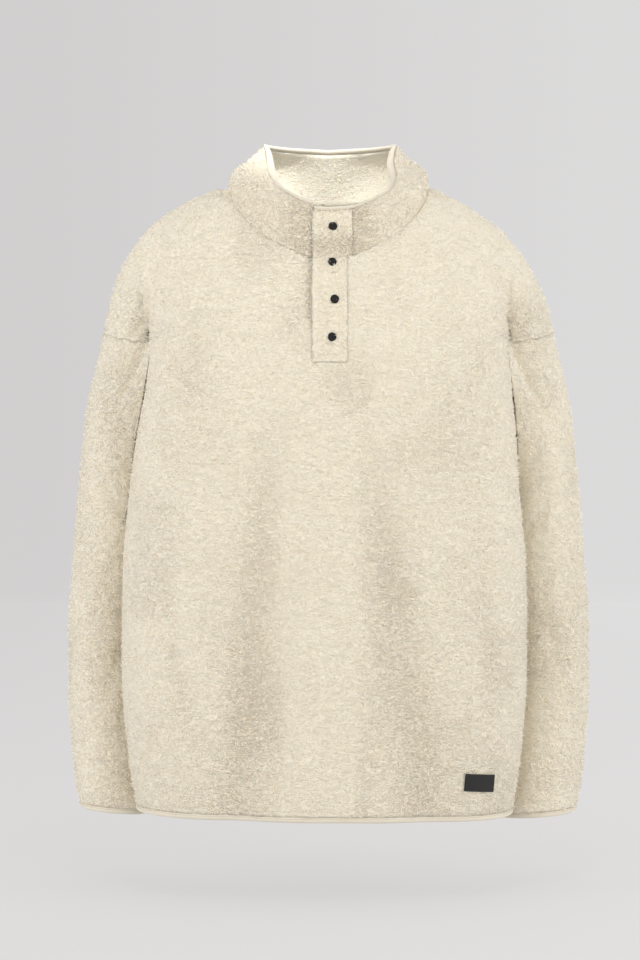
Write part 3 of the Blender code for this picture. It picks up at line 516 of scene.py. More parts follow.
def neck_seam(panels):
    """Points just above the neck seam, from the placket's left side round the back to its right."""
    front, back = panels[FRONT][0], panels[BACK][0]
    left, right = HALF_CELLS + MIDDLE_CELLS, HALF_CELLS
    neck_rows = np.arange(0, ROW_STARTS[FRONT_NECK_LAST] + 1, 2)
    back_rows = np.arange(4, ROW_STARTS[len(BACK_NECK_X) - 1] + 1, 4)
    left_front = front[neck_rows[::-1], left]
    left_front = left_front[left_front[:, 0] > COLLAR_END_LEFT]
    first = np.array([[COLLAR_END_LEFT, 0, -float(front_neck_drop(COLLAR_END_LEFT))]])
    first[0, 1] = float(shoulder_y(COLLAR_END_LEFT, -first[0, 2], FRONT))
    right_front = front[neck_rows[1:], right]
    points = np.concatenate([
        first, left_front[:-1], [(front[0, left] + back[0, left]) / 2], back[back_rows, left],
        back[back_rows[-1], HALF_CELLS + 2 : left - 1 : 2][::-1],
        back[back_rows[::-1], right], [(front[0, right] + back[0, right]) / 2], right_front,
    ])
    inward = unit((points - (0, NECK_MIDDLE_Y, 0)) * (1, 1, 0))
    return points - SEAM * inward + (0, 0, 2.5 * SEAM)


def strip_face(right, left, left_on_collar, bottom, body_cells, levels):
    """A strip of the front form from the placket's bottom up over the collar, row by row."""
    share = np.linspace(0, 1, STRIP_CELLS + 1)
    across = right + (left - right) * share
    down = np.linspace(0, 1, body_cells + 1)[:, None]
    drop = bottom + (front_neck_drop(across) - bottom) * down
    body = np.stack([across + 0 * drop, shoulder_y(across + 0 * drop, drop, FRONT), -drop], axis=-1)
    across = right + (left_on_collar - right) * share
    drop = front_neck_drop(across)
    base = np.stack([across, shoulder_y(across, drop, FRONT), -drop], axis=-1)
    raised = [collar_point(base, level, True) * (0, 1, 1) + base * (1, 0, 0) for level in levels]
    return np.concatenate([body, raised])


# ---- nap and shells ----------------------------------------------------------------------------


LATTICE = np.random.default_rng(11).random((48, 48, 48))


def noise(points, cell):
    """Smooth noise from 0 to 1 at points, with cells of the given sizes."""
    scaled = points / np.array(cell)
    whole = np.floor(scaled).astype(int)
    part = scaled - whole
    part = part * part * (3 - 2 * part)
    total = 0
    for corner in range(8):
        step = np.array([corner & 1, corner >> 1 & 1, corner >> 2])
        index = (whole + step) % LATTICE.shape[0]
        weight = np.prod(np.where(step == 1, part, 1 - part), axis=-1)
        total = total + weight * LATTICE[index[..., 0], index[..., 1], index[..., 2]]
    return total


def curls(points, cell):
    """Worm-like ridges, 0 between them and 1 along their crests."""
    return 1 - np.abs(2 * noise(points, cell) - 1) ** 0.8


def nap(points):
    """Height of the pile above its form: tufts of a few millimetres in loose, mostly level rows."""
    sway = np.stack([noise(points + apart, (0.013,) * 3) for apart in (0.3, 0.7, 1.1)], axis=-1)
    bent = points + 0.003 * (sway - 0.5)
    rows = curls(bent, (0.0085, 0.0085, 0.0048))
    small = noise(bent + 5.0, (0.0042, 0.0042, 0.0034))
    broad = noise(points + 9.0, (0.030, 0.030, 0.022))
    return 0.0014 * (rows - 0.5) + 0.0010 * (small - 0.5) + 0.0009 * (broad - 0.5)


def new_object(name, points, faces, finish):
    mesh = bpy.data.meshes.new(name)
    mesh.from_pydata(points.tolist(), [], faces)
    mesh.validate()
    mesh.shade_smooth()
    mesh.materials.append(finish)
    made = bpy.data.objects.new(name, mesh)
    bpy.context.scene.collection.objects.link(made)
    return made


def face_outwards(made, points, faces):
    """Turns a closed mesh the right way out, by the sign of its volume."""
    a, b, c = (points[[face[i] for face in faces]] for i in range(3))
    if np.einsum("ij,ij->i", a, np.cross(b, c)).sum() < 0:
        made.data.flip_normals()


def past_edge(grid, normals, where, amount, lift=0.5):
    """Moves the pile of an edge out over its seam, unevenly, so that it hides the stitches."""
    moved = np.zeros_like(grid)
    lines = (grid, normals, moved)
    if where in ("left", "right"):
        lines = [whole.swapaxes(0, 1) for whole in lines]
    points, facing, shifts = lines
    for depth, share in enumerate((1.0, 0.6, 0.2)):
        at, inner = (depth, depth + 2) if where in ("first", "left") else (-1 - depth, -3 - depth)
        outward = unit(points[at] - points[inner])
        uneven = 0.55 + 0.9 * noise(points[at], (0.005,) * 3)
        shifts[at] += share * amount * uneven[:, None] * (outward + lift * facing[at])
    return moved


def shell(
    name, outer, normals, thick, finish, cells=None, ring=False, raised=None, moved=None, ruffle=None,
    ruffle_inside=0.0,
):
    """A closed thin shell: a fine outer face, an inner face at half its fineness, and rims.

    moved shifts points of the outer face; the pile's values say at each, from 0 to 1, how disturbed it is
    and how much painted shade it takes, and the inside value is their one value on the inner face.
    """
    rows, columns = outer.shape[:2]
    across = columns if ring else columns - 1
    if cells is None:
        cells = np.ones((rows - 1, across), bool)
    top = outer if raised is None else outer + normals * raised[..., None]
    if moved is not None:
        top = top + moved
    under = outer - normals * thick
    if raised is not None:
        under = under + normals * (0.5 * raised)[..., None]
    points = np.concatenate([top.reshape(-1, 3), under.reshape(-1, 3)])
    inner_from = rows * columns
    faces, edges = [], {}
    for row in range(0, rows - 1, 2):
        for column in range(0, across, 2):
            if not cells[row, column]:
                continue
            middle, after = column + 1, (column + 2) % columns
            grid = [[(row + down) * columns + at for at in (column, middle, after)] for down in range(3)]
            for down in range(2):
                for right in range(2):
                    faces.append((
                        grid[down][right], grid[down][right + 1],
                        grid[down + 1][right + 1], grid[down + 1][right],
                    ))
            corners = [grid[0][0], grid[0][2], grid[2][2], grid[2][0]]
            faces.append(tuple(inner_from + corner for corner in corners[::-1]))
            halves = [grid[0][1], grid[1][2], grid[2][1], grid[1][0]]
            for start, end, half in zip(corners, corners[1:] + corners[:1], halves):
                if (end, start) in edges:
                    del edges[end, start]
                else:
                    edges[start, end] = half
    for (start, end), half in edges.items():
        faces.append((end, half, start, inner_from + start, inner_from + end))
    used = np.unique(np.concatenate([np.array(face) for face in faces]))
    place = np.full(len(points), -1)
    place[used] = np.arange(len(used))
    faces = [tuple(place[list(face)].tolist()) for face in faces]
    made = new_object(name, points[used], faces, finish)
    if ruffle is not None:
        values = np.concatenate([ruffle.reshape(-1), np.full(ruffle.size, ruffle_inside)])[used]
        layer = made.data.attributes.new("ruffle", "FLOAT", "POINT")
        layer.data.foreach_set("value", values.astype(np.float32))
    face_outwards(made, points[used], faces)
    return made


def profile_band(name, path, out, down, profile, finish, closed):
    """A strip with a rounded section along a path; profile holds (out, down) offsets round it."""
    count, sides = len(path), len(profile)
    points = np.array([path + out * a + down * b for a, b in profile]).transpose(1, 0, 2)
    faces = []
    for step in range(count if closed else count - 1):
        after = (step + 1) % count
        for side in range(sides):
            next_side = (side + 1) % sides
            faces.append((
                step * sides + side, after * sides + side,
                after * sides + next_side, step * sides + next_side,
            ))
    if not closed:
        faces.append(tuple(range(sides)))
        faces.append(tuple((count - 1) * sides + side for side in reversed(range(sides))))
    flat = points.reshape(-1, 3)
    made = new_object(name, flat, faces, finish)
    face_outwards(made, flat, faces)
    return made


def rounded_profile(height, thick, bulge):
    """Section of a folded, rolled knit strip: round outside, a fold at the free edge, flatter inside."""
    points = []
    for turn in np.linspace(-0.42, 0.5, 11) * math.pi:
        out = (thick / 2 + bulge) * math.cos(turn) - thick / 2
        points.append((out, height * (0.5 + 0.5 * math.sin(turn))))
    for turn in np.linspace(0.58, 1.42, 9) * math.pi:
        points.append((thick / 2 * math.cos(turn) - thick / 2, height * (0.5 + 0.5 * math.sin(turn))))
    return points


# ---- materials ---------------------------------------------------------------------------------


class Nodes:
    """A short way to write a material's nodes."""

    def __init__(self, name):
        self.material = bpy.data.materials.new(name)
        self.material.use_nodes = True
        self.tree = self.material.node_tree
        self.shader = self.tree.nodes["Principled BSDF"]
        self.place = self.add("ShaderNodeTexCoord").outputs["Object"]

    def add(self, kind, **settings):
        node = self.tree.nodes.new(kind)
        for key, value in settings.items():
            setattr(node, key, value)
        return node

    def link(self, source, target):
        self.tree.links.new(source, target)

    def stretched(self, scale):
        node = self.add("ShaderNodeMapping")
        node.inputs["Scale"].default_value = scale
        self.link(self.place, node.inputs["Vector"])
        return node.outputs["Vector"]

    def noise(self, vector, scale, detail=2.0, roughness=0.5, distortion=0.0):
        node = self.add("ShaderNodeTexNoise")
        self.link(vector, node.inputs["Vector"])
        node.inputs["Scale"].default_value = scale
        node.inputs["Detail"].default_value = detail
        node.inputs["Roughness"].default_value = roughness
        node.inputs["Distortion"].default_value = distortion
        return node.outputs["Fac"]

    def maths(self, operation, first, second=0.5, third=None):
        node = self.add("ShaderNodeMath", operation=operation)
        for slot, value in zip(node.inputs, (first, second, third)):
            if value is None:
                continue
            if isinstance(value, (int, float)):
                slot.default_value = value
            else:
                self.link(value, slot)
        return node.outputs[0]

    def ridges(self, value):
        """Thin crests along the middle of a noise's range."""
        off = self.maths("ABSOLUTE", self.maths("SUBTRACT", value, 0.5))
        return self.maths("SUBTRACT", 1.0, self.maths("MULTIPLY", off, 6.0))

    def ramp(self, value, *stops):
        node = self.add("ShaderNodeValToRGB")
        self.link(value, node.inputs["Fac"])
        band = node.color_ramp
        while len(band.elements) < len(stops):
            band.elements.new(0.5)
        for element, (place, colour) in zip(band.elements, stops):
            element.position = place
            element.color = (*colour, 1)
        return node.outputs["Color"]

    def mix(self, share, first, second, blend="MIX"):
        node = self.add("ShaderNodeMix", data_type="RGBA", blend_type=blend)
        for slot, value in ((node.inputs[0], share), (node.inputs[6], first), (node.inputs[7], second)):
            if isinstance(value, (int, float)):
                slot.default_value = value
            elif isinstance(value, tuple):
                slot.default_value = (*value, 1)
            else:
                self.link(value, slot)
        return node.outputs[2]

    def bump(self, height, distance, strength):
        node = self.add("ShaderNodeBump")
        node.inputs["Distance"].default_value = distance
        node.inputs["Strength"].default_value = strength
        self.link(height, node.inputs["Height"])
        return node.outputs["Normal"]

    def finish(self, colour, roughness, normal=None, sheen=0.0, sheen_roughness=0.5, sheen_tint=None):
        shader = self.shader
        if isinstance(colour, tuple):
            shader.inputs["Base Color"].default_value = (*colour, 1)
        else:
            self.link(colour, shader.inputs["Base Color"])
        if isinstance(roughness, float):
            shader.inputs["Roughness"].default_value = roughness
        else:
            self.link(roughness, shader.inputs["Roughness"])
        if normal is not None:
            self.link(normal, shader.inputs["Normal"])
        shader.inputs["Sheen Weight"].default_value = sheen
        shader.inputs["Sheen Roughness"].default_value = sheen_roughness
        if sheen_tint is not None:
            shader.inputs["Sheen Tint"].default_value = (*sheen_tint, 1)
        return self.material


# Of these colours, the second paints shade into the pile's low points and is partly the deeper pile's own
# tone; the third paints shade in the gaps between its curls; the fourth paints shade in folds, beside
# seams and over the wearer's left and lower body, and is also the tone of loose disturbed patches; the
# fifth paints light onto the inside of the collar.
FLEECE_LIGHT, FLEECE_DEEP_TONE_AND_SHADE = (0.92, 0.85, 0.70), (0.82, 0.71, 0.525)
FLEECE_CREVICE_SHADE = (0.73, 0.59, 0.395)
FLEECE_SHADE_AND_RUFFLE, FLEECE_INSIDE_PAINTED_LIGHT = (0.82, 0.70, 0.515), (0.96, 0.90, 0.76)


def fleece_material(name, level):
    """Cream pile: tufts in loose rows, fine fibres, and painted shade between them. Level is how level
    they lie.

    Where the pile is disturbed, as in folds and beside seams, its curls are deeper and it takes painted
    shade;
    below 0 the attribute marks the inside of the collar, which takes painted light.
    """
    nodes = Nodes(name)
    ruffle = nodes.add("ShaderNodeAttribute", attribute_name="ruffle").outputs["Fac"]
    rows = nodes.stretched((1.0, 1.0, level))
    tufts = nodes.noise(rows, 230, 2.0, 0.5, 1.2)
    worms = nodes.ridges(nodes.noise(rows, 170, 1.0, 0.5, 2.2))
    fibres = nodes.noise(nodes.place, 900, 3.0, 0.6, 0.5)
    patches = nodes.noise(nodes.place, 9, 2.0)
    wormy = nodes.maths("MULTIPLY", worms, nodes.maths("MULTIPLY_ADD", ruffle, 0.45, 0.24))
    # Painted shade in the gaps between the curls, more where the pile is disturbed.
    between = nodes.ramp(worms, (0.05, (1, 1, 1)), (0.75, (0, 0, 0)))
    crevice_shade = nodes.maths("MULTIPLY", between, nodes.maths("MULTIPLY_ADD", ruffle, 0.45, 0.08))
    height = nodes.maths("ADD", nodes.maths("MULTIPLY", tufts, 0.85), wormy)
    height = nodes.maths("ADD", height, nodes.maths("MULTIPLY", fibres, 0.18))
    depth = nodes.ramp(height, (0.38, (0, 0, 0)), (0.68, (1, 1, 1)))
    contrast = nodes.maths("MULTIPLY_ADD", ruffle, 0.45, 0.42)
    # The pile's low points are darker: partly the deeper pile's own tone, partly painted shade.
    deep_tone_and_shade = nodes.maths("MULTIPLY", nodes.maths("SUBTRACT", 1.0, depth), contrast)
    colour = nodes.mix(deep_tone_and_shade, FLEECE_LIGHT, FLEECE_DEEP_TONE_AND_SHADE)
    # Painted shade where the pile's value is high, which is also the tone of loose disturbed patches.
    colour = nodes.mix(nodes.maths("MULTIPLY", ruffle, 0.35), colour, FLEECE_SHADE_AND_RUFFLE)
    colour = nodes.mix(crevice_shade, colour, FLEECE_CREVICE_SHADE)
    # Painted light on the inside of the collar, where the value is below 0.
    colour = nodes.mix(nodes.maths("MULTIPLY", ruffle, -1.0), colour, FLEECE_INSIDE_PAINTED_LIGHT)
    shade = nodes.ramp(patches, (0.3, (0.965, 0.96, 0.95)), (0.7, (1.0, 1.0, 1.0)))
    colour = nodes.mix(1.0, colour, shade, "MULTIPLY")
    calm = nodes.maths("MULTIPLY_ADD", nodes.maths("MINIMUM", ruffle, 0.0), 0.55, 1.0)
    normal = nodes.bump(nodes.maths("MULTIPLY", height, calm), 0.0024, 0.9)
    made = nodes.finish(colour, 0.95, normal, 0.50, 0.5, (1.0, 0.96, 0.88))
    nodes.shader.inputs["Subsurface Weight"].default_value = 0.12
    nodes.shader.inputs["Subsurface Radius"].default_value = (0.004, 0.003, 0.002)
    nodes.shader.inputs["Subsurface Scale"].default_value = 1.0
    nodes.shader.inputs["Specular IOR Level"].default_value = 0.2
    return made


def fibre_material():
    """Loose curled fibres: light, thin, and let light through."""
    nodes = Nodes("fleece_fibre")
    shade = nodes.noise(nodes.place, 200, 1.0)
    colour = nodes.mix(shade, (0.86, 0.79, 0.65), (0.91, 0.845, 0.71))
    made = nodes.finish(colour, 0.9, None, 0.5, 0.6, (1.0, 0.96, 0.88))
    nodes.shader.inputs["Specular IOR Level"].default_value = 0.1
    return made


def binding_material():
    """Smooth stretch knit: fine courses along the strip."""
    nodes = Nodes("binding_knit")
    ribs = nodes.noise(nodes.stretched((1.0, 1.0, 0.35)), 1400, 1.0)
    soft = nodes.noise(nodes.place, 60, 2.0)
    shade = nodes.maths("MULTIPLY", nodes.maths("ADD", ribs, soft), 0.5)
    colour = nodes.mix(shade, (0.66, 0.60, 0.48), (0.79, 0.725, 0.60))
    made = nodes.finish(colour, 0.85, nodes.bump(ribs, 0.0004, 0.6), 0.25, 0.5)
    nodes.shader.inputs["Specular IOR Level"].default_value = 0.3
    return made


def snap_material():
    nodes = Nodes("snap_black")
    wear = nodes.noise(nodes.place, 500, 3.0)
    roughness = nodes.maths("ADD", nodes.maths("MULTIPLY", wear, 0.25), 0.42)
    colour = nodes.mix(wear, (0.006, 0.0055, 0.005), (0.014, 0.013, 0.012))
    made = nodes.finish(colour, roughness, nodes.bump(wear, 0.0002, 0.2))
    nodes.shader.inputs["Specular IOR Level"].default_value = 0.25
    return made


def label_material():
    """Black damask weave of fine crossed threads."""
    nodes = Nodes("label_weave")
    threads = []
    for way in ("Z", "X"):
        wave = nodes.add("ShaderNodeTexWave", wave_type="BANDS", bands_direction=way)
        wave.inputs["Scale"].default_value = 620
        nodes.link(nodes.place, wave.inputs["Vector"])
        threads.append(wave.outputs["Fac"])
    weave = nodes.maths("MULTIPLY", *threads)
    fuzz = nodes.noise(nodes.place, 1500, 2.0)
    shade = nodes.maths("MULTIPLY", nodes.maths("ADD", weave, fuzz), 0.5)
    colour = nodes.mix(shade, (0.007, 0.0065, 0.006), (0.026, 0.0245, 0.023))
    return nodes.finish(colour, 0.8, nodes.bump(weave, 0.0003, 0.5), 0.06, 0.4)


def thread_material(name, colour):
    nodes = Nodes(name)
    twist = nodes.noise(nodes.place, 2500, 2.0)
    shade = nodes.mix(twist, tuple(0.75 * part for part in colour), colour)
    return nodes.finish(shade, 0.7, nodes.bump(twist, 0.0001, 0.5), 0.1, 0.4)


# ---- pieces ------------------------------------------------------------------------------------


ROWED = fleece_material("fleece_body", 1.7)
LOOSE = fibre_material()
SLEEVED = fleece_material("fleece_sleeve", 1.6)
COLLARED = fleece_material("fleece_collar", 1.3)
BINDING = binding_material()
SNAP = snap_material()
WOVEN = label_material()
BEIGE_THREAD = thread_material("thread_beige", (0.72, 0.64, 0.53))
BLACK_THREAD = thread_material("thread_black", (0.05, 0.05, 0.05))

FIBRE_LENGTH = 0.0028
PANEL_FIBRES, SLEEVE_FIBRES, STRIP_FIBRES = 11000, 8000, 700  # before thinning by area
COLLAR_FIBRES, COLLAR_FIBRES_INSIDE = 2600, 500
STITCH_SPACING, STITCH_WIDTH = 0.0034, 0.0006


def declare(piece, node):
    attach(piece, "root")
    if node is not None:
        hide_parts(node)
    return piece


def ruffled(points, side=None):
    """How disturbed the pile is and the painted shade it takes: loose disturbed patches, painted shade
    with deeper curls in the large folds, painted shade over the wearer's left side and towards the hem,
    and painted light down the middle below the chest.
    """
    broad = noise(points + 3.0, (0.055, 0.055, 0.075))
    value = 0.25 * smooth_step((broad - 0.45) / 0.4)
    if side is not None:
        x, drop = points[..., 0], -points[..., 2]
        # Painted shade in the large folds, where the curls also run deeper.
        value = value + 0.42 * np.clip(fold_depth(x - lean(drop), drop, side) / 0.008, 0, 1.1)
        # Painted shade over the wearer's left side.
        value = value + 0.10 * smooth_step((x - 0.06) / 0.12) * smooth_step((drop - 0.10) / 0.1)
        # Painted light down the middle, below the chest.
        painted_light_middle = smooth_step((0.05 - np.abs(x + 0.010)) / 0.03)
        value = value - 0.6 * painted_light_middle * smooth_step((drop - 0.28) / 0.1)
        # Painted shade towards the hem.
        value = value + 0.10 * smooth_step((drop - 0.50) / 0.2)
    return np.clip(value, 0, 1)


def sunk_at_edges(grid, cells, ring, sink=0.0005, reach=4):
    """How far a panel's outer face dips at its seams, where stitches pull the pile down."""
    rows, columns = grid.shape[:2]
    order_rows, order_columns = np.arange(rows)[:, None], np.arange(columns)
    edge = np.minimum(order_rows, rows - 1 - order_rows) + 0 * order_columns
    if not ring:
        edge = np.minimum(edge, np.minimum(order_columns, columns - 1 - order_columns))
    near = np.minimum(edge, float(reach))
    if cells is not None and not cells.all():
        cut_rows = int(np.argmax(cells[:, columns // 2]))
        off_row = np.maximum(order_rows - cut_rows, 0)
        past = order_columns - HALF_CELLS
        off_column = np.maximum(np.maximum(-past, past - MIDDLE_CELLS), 0)
        near = np.minimum(near, np.maximum(off_row, off_column))
    return -sink * (1 - np.minimum(near / reach, 1)) ** 1.5


def stacked_rings(first, rings, sides):
    """Faces round a stack of rings of points, closed at both ends."""
    faces = []
    for ring in range(rings - 1):
        start = first + ring * sides
        for turn in range(sides):
            a, b = start + turn, start + (turn + 1) % sides
            faces.append((a, b, b + sides, a + sides))
    faces.append(tuple(first + turn for turn in reversed(range(sides))))
    faces.append(tuple(first + (rings - 1) * sides + turn for turn in range(sides)))
    return faces


def stitches(name, path, facing, spacing, width, finish, lift=0.0003):
    """A row of short thread stitches along a path, each a small six-sided capsule."""
    gaps = np.linalg.norm(np.diff(path, axis=0), axis=1)
    length = np.concatenate([[0], np.cumsum(gaps)])
    count = int(length[-1] / spacing)
    starts = (np.arange(count) + 0.15) * spacing
    points, faces = [], []
    for start in starts:
        ends = []
        for at in (start, start + 0.7 * spacing):
            place = [np.interp(at, length, path[:, axis]) for axis in range(3)]
            face = [np.interp(at, length, facing[:, axis]) for axis in range(3)]
            ends.append((np.array(place), unit(np.array(face))))
        along = unit(ends[1][0] - ends[0][0])
        across = unit(np.cross(along, ends[0][1]))
        first = len(points)
        for share, size in ((0, 0.35), (0.2, 1.0), (0.8, 1.0), (1, 0.35)):
            middle = ends[0][0] * (1 - share) + ends[1][0] * share + ends[0][1] * lift
            for turn in range(6):
                angle = turn * math.pi / 3
                out = math.cos(angle) * across + math.sin(angle) * ends[0][1] * 0.7
                points.append(middle + out * width / 2 * size)
        faces += stacked_rings(first, 4, 6)
    return new_object(name, np.array(points), faces, finish)


def under_label(points):
    """Where the label covers the front."""
    near = np.abs(points[..., 0] - LABEL_AT[0]) < LABEL_HALF[0] + 0.0015
    return near & (np.abs(points[..., 2] - LABEL_AT[1]) < LABEL_HALF[1] + 0.0015) & (points[..., 1] < 0)


def fibres(name, grid, normals, cells, ring, count, seed):
    """Loose curled fibres standing out of the pile, in three tapering steps each."""
    rng = np.random.default_rng(seed)
    rows, columns = grid.shape[:2]
    across = columns if ring else columns - 1
    row = rng.random(count * 2) * (rows - 1.001)
    column = rng.random(count * 2) * (across - 0.001)
    r, c = row.astype(int), column.astype(int)
    # Even over the cloth's area, not over its cells.
    after = (c + 1) % columns
    size = np.linalg.norm(np.cross(grid[r + 1, c] - grid[r, c], grid[r, after] - grid[r, c]), axis=1)
    keep = rng.random(len(r)) < size / np.quantile(size, 0.85)
    if cells is not None:
        keep &= cells[r, c]
    keep &= ~under_label(grid[r, c])
    r, c, after = r[keep], c[keep], after[keep]
    s, t = (row[keep] - r)[:, None], (column[keep] - c)[:, None]
    root = (grid[r, c] * (1 - t) + grid[r, after] * t) * (1 - s)
    root += (grid[r + 1, c] * (1 - t) + grid[r + 1, after] * t) * s
    normal = normals[r, c]
    sideways = unit(np.cross(normal, rng.normal(size=root.shape)))
    other = np.cross(normal, sideways)
    long = FIBRE_LENGTH * (0.5 + rng.random((len(root), 1)))
    width = 0.00022 + 0.00022 * rng.random((len(root), 1))
    steps = []
    for rise, out, wide in ((-0.1, 0, 1), (0.42, 0.18, 0.9), (0.62, 0.48, 0.7), (0.5, 0.8, 0.2)):
        middle = root + long * (rise * normal + out * sideways)
        steps += [middle - wide * width * other, middle + wide * width * other]
    points = np.stack(steps, axis=1).reshape(-1, 3)
    first = np.arange(len(root)) * 8
    faces = []
    for step in range(3):
        a = first + 2 * step
        faces += np.stack([a, a + 1, a + 3, a + 2], axis=1).tolist()
    return new_object(name, points, faces, LOOSE)


def fleece(
    node, grid, normals, raised, finish, tufts, cut, held="draped", area=None, cells=None, ring=False,
    inside=0, loose_name=None, **shape
):
    """One cut piece of fleece in its solid's place: the pile's shell and its loose fibres.

    tufts is the number and the seed of the fibres, and inside the number of them on the inner face.
    """
    count, seed = tufts
    piece = shell(f"{node}_fleece", grid, normals, CLOTH, finish, cells, ring, raised, **shape)
    declare(piece, node)
    outer = grid + normals * raised[..., None]
    loose = [fibres(loose_name or f"{node}_fibres", outer, normals, cells, ring, count, seed)]
    if inside:
        lining = grid - normals * CLOTH
        loose.append(fibres(f"{node}_fibres_inside", lining, -normals, None, False, inside, seed + 1))
    for tuft in loose:
        declare(tuft, None)


ARMPIT_STEP = 0.0035
ARMPIT_EDGE = {-1: 0.2118, 1: 0.2043}  # how far out the fold starts, on each side
ARMPIT_DROPS = (0.080, 0.162)  # and the drops between which it lies


def armpit_fold(points):
    """Above each armpit the cloth drops behind the body's edge: 1 at the fold, 0 towards the sleeve."""
    x, drop = points[..., 0], -points[..., 2]
    edge = np.where(x < 0, ARMPIT_EDGE[-1], ARMPIT_EDGE[1]) - 0.05 * np.maximum(drop - 0.082, 0)
    beyond = np.abs(x) - edge
    top, low = ARMPIT_DROPS
    along = smooth_step((drop - top) / 0.055) * smooth_step((low - drop) / 0.018)
    return along * np.where(x < 0, 1.0, 0.5) * np.where(beyond > 0, np.exp(-beyond / 0.012), 0)


def shade_beside_neck(points):
    """Painted shade along the neck seam, with deeper curls there."""
    x, drop = points[..., 0], -points[..., 2]
    away = np.hypot(x / 0.098, (drop + 0.012) / 0.085)
    return 0.35 * np.exp(-(((away - 1.0) / 0.10) ** 2)) * (np.abs(x) < 0.12)


def beside_slit(points):
    """The pile lies low beside the free edge of the placket, most of the way down, and takes painted shade
    there.
    """
    x, drop = points[..., 0], -points[..., 2]
    away = PLACKET_RIGHT - x
    fade = smooth_step((0.175 - drop) / 0.05) * (points[..., 1] < 0)
    return fade * np.where(away > 0, np.exp(-((away / 0.0075) ** 2)), 0)


def build_panels():
    panels = {side: panel(side) for side in (FRONT, BACK)}
    cuts = ((FRONT, "front", (0.66, 0.72), 0.40), (BACK, "back", (0.62, 0.73), 0.40))
    for side, name, cut, area in cuts:
        points, normals, cells = panels[side]
        raised = nap(points) + sunk_at_edges(points, cells, False)
        at_armpit = np.exp(-(((-points[:, 0, 2] - 0.165) / 0.014) ** 2))[:, None]
        lap = (0.0013 if side == FRONT else 0.0008) + 0.0024 * at_armpit
        moved = past_edge(points, normals, "left", lap) + past_edge(points, normals, "right", lap)
        moved[ROW_AT > ARMHOLE_LAST] *= 0.5
        fold = armpit_fold(points)
        slit = beside_slit(points)
        moved -= normals * (ARMPIT_STEP * fold + 0.0020 * slit)[..., None]
        moved[-3:] = 0
        # Painted shade in the armpit folds, beside the placket's free edge and along the neck seam.
        ruffle = np.clip(ruffled(points, side) + 0.5 * fold + slit + shade_beside_neck(points), 0, 1)
        fleece(
            name, points, normals, raised, ROWED, (PANEL_FIBRES, side + 5), cut, area=area, cells=cells,
            moved=moved, ruffle=ruffle,
        )
    return panels


panels = build_panels()


def binding_below(name, node, edge, normals):
    """A folded knit strip below a hanging edge, with its row of stitches."""
    level = unit(normals * (1, 1, 0))
    down = np.zeros_like(level)
    down[:, 2] = -1
    path = edge + down * SEAM - level * BINDING_INSET
    wave = 0.0007 * (noise(path, (0.02,) * 3) - 0.5)
    piece = profile_band(name, path + level * wave[:, None], level, down, HEM_PROFILE, BINDING, True)
    declare(piece, node)
    sewn = np.concatenate([path, path[:1]]) + np.concatenate([level, level[:1]]) * 0.0009
    sewn = sewn + (0, 0, -0.0017)
    facing = np.concatenate([level, level[:1]])
    thread = stitches(f"{name}_stitches", sewn, facing, STITCH_SPACING, STITCH_WIDTH, BEIGE_THREAD)
    declare(thread, None)


HEM_PROFILE = rounded_profile(BINDING_HEIGHT, BINDING_THICK, 0.0010)
for sign, side_name in ((1, "left"), (-1, "right")):
    grid, normals = sleeve(panels, sign)
    raised = nap(grid) + sunk_at_edges(grid, None, True)
    fold = armpit_fold(grid)
    sleeve_moved = past_edge(grid, normals, "first", 0.0016, 0.2)
    sleeve_moved -= normals * (ARMPIT_STEP * fold)[..., None]
    # The pile takes painted shade in the armpit fold.
    fleece(
        f"sleeve_{side_name}", grid, normals, raised, SLEEVED, (SLEEVE_FIBRES, 20 + sign), (0.42, 0.58),
        "hung", 0.215, ring=True, moved=sleeve_moved, ruffle=np.clip(ruffled(grid) + 0.4 * fold, 0, 1),
    )
    binding_below(f"cuff_{side_name}_binding", f"cuff_binding_{side_name}", grid[-1], normals[-1])
hem_edge = np.concatenate([panels[FRONT][0][-1], panels[BACK][0][-1, ::-1]])
hem_normals = np.concatenate([panels[FRONT][1][-1], panels[BACK][1][-1, ::-1]])
binding_below("hem_band", "hem_binding", hem_edge, hem_normals)

COLLAR_LEVELS = np.linspace(0, COLLAR_CLOTH_TOP, 29)
base = neck_seam(panels)
if len(base) % 2 == 0:
    base = np.delete(base, len(base) // 2, axis=0)
collar_grid = np.array([collar_point(base, level) for level in COLLAR_LEVELS])
collar_normals = grid_normals(collar_grid, 1)
collar_normals[:, [0, -1], 0] = 0
collar_normals = unit(collar_normals)
collar_raised = 0.9 * nap(collar_grid) + sunk_at_edges(collar_grid, None, False)
collar_moved = past_edge(collar_grid, collar_normals, "first", 0.0026, 0.25)
collar_moved += past_edge(collar_grid, collar_normals, "last", 0.0008, 0.5)
# The collar's outside takes a little painted shade throughout and more beside the placket, where its curls
# also run deeper; its inside takes painted light.
ruffle_and_shade_beside_placket = smooth_step((0.062 - np.abs(collar_grid[..., 0])) / 0.03) * (collar_grid[..., 1] < 0)
collar_ruffle = np.clip(0.30 + 0.4 * ruffled(collar_grid) + 0.7 * ruffle_and_shade_beside_placket, 0, 1)
fleece(
    "collar", collar_grid, collar_normals, collar_raised, COLLARED, (COLLAR_FIBRES, 31), (0.50, 0.085),
    area=0.034, inside=COLLAR_FIBRES_INSIDE, moved=collar_moved, ruffle=collar_ruffle, ruffle_inside=-1.0,
)


def placket(right, left, left_on_collar, bottom, offset):
    """A strip of the placket, moved out from the front's form: its face, normals and pile."""
    face = strip_face(right, left, left_on_collar, bottom, STRIP_BODY_CELLS, COLLAR_LEVELS[1:])
    normals = grid_normals(face, 1)
    face = face + normals * offset
    raised = nap(face) + sunk_at_edges(face, None, False, 0.0010, 2)
    return face, normals, raised


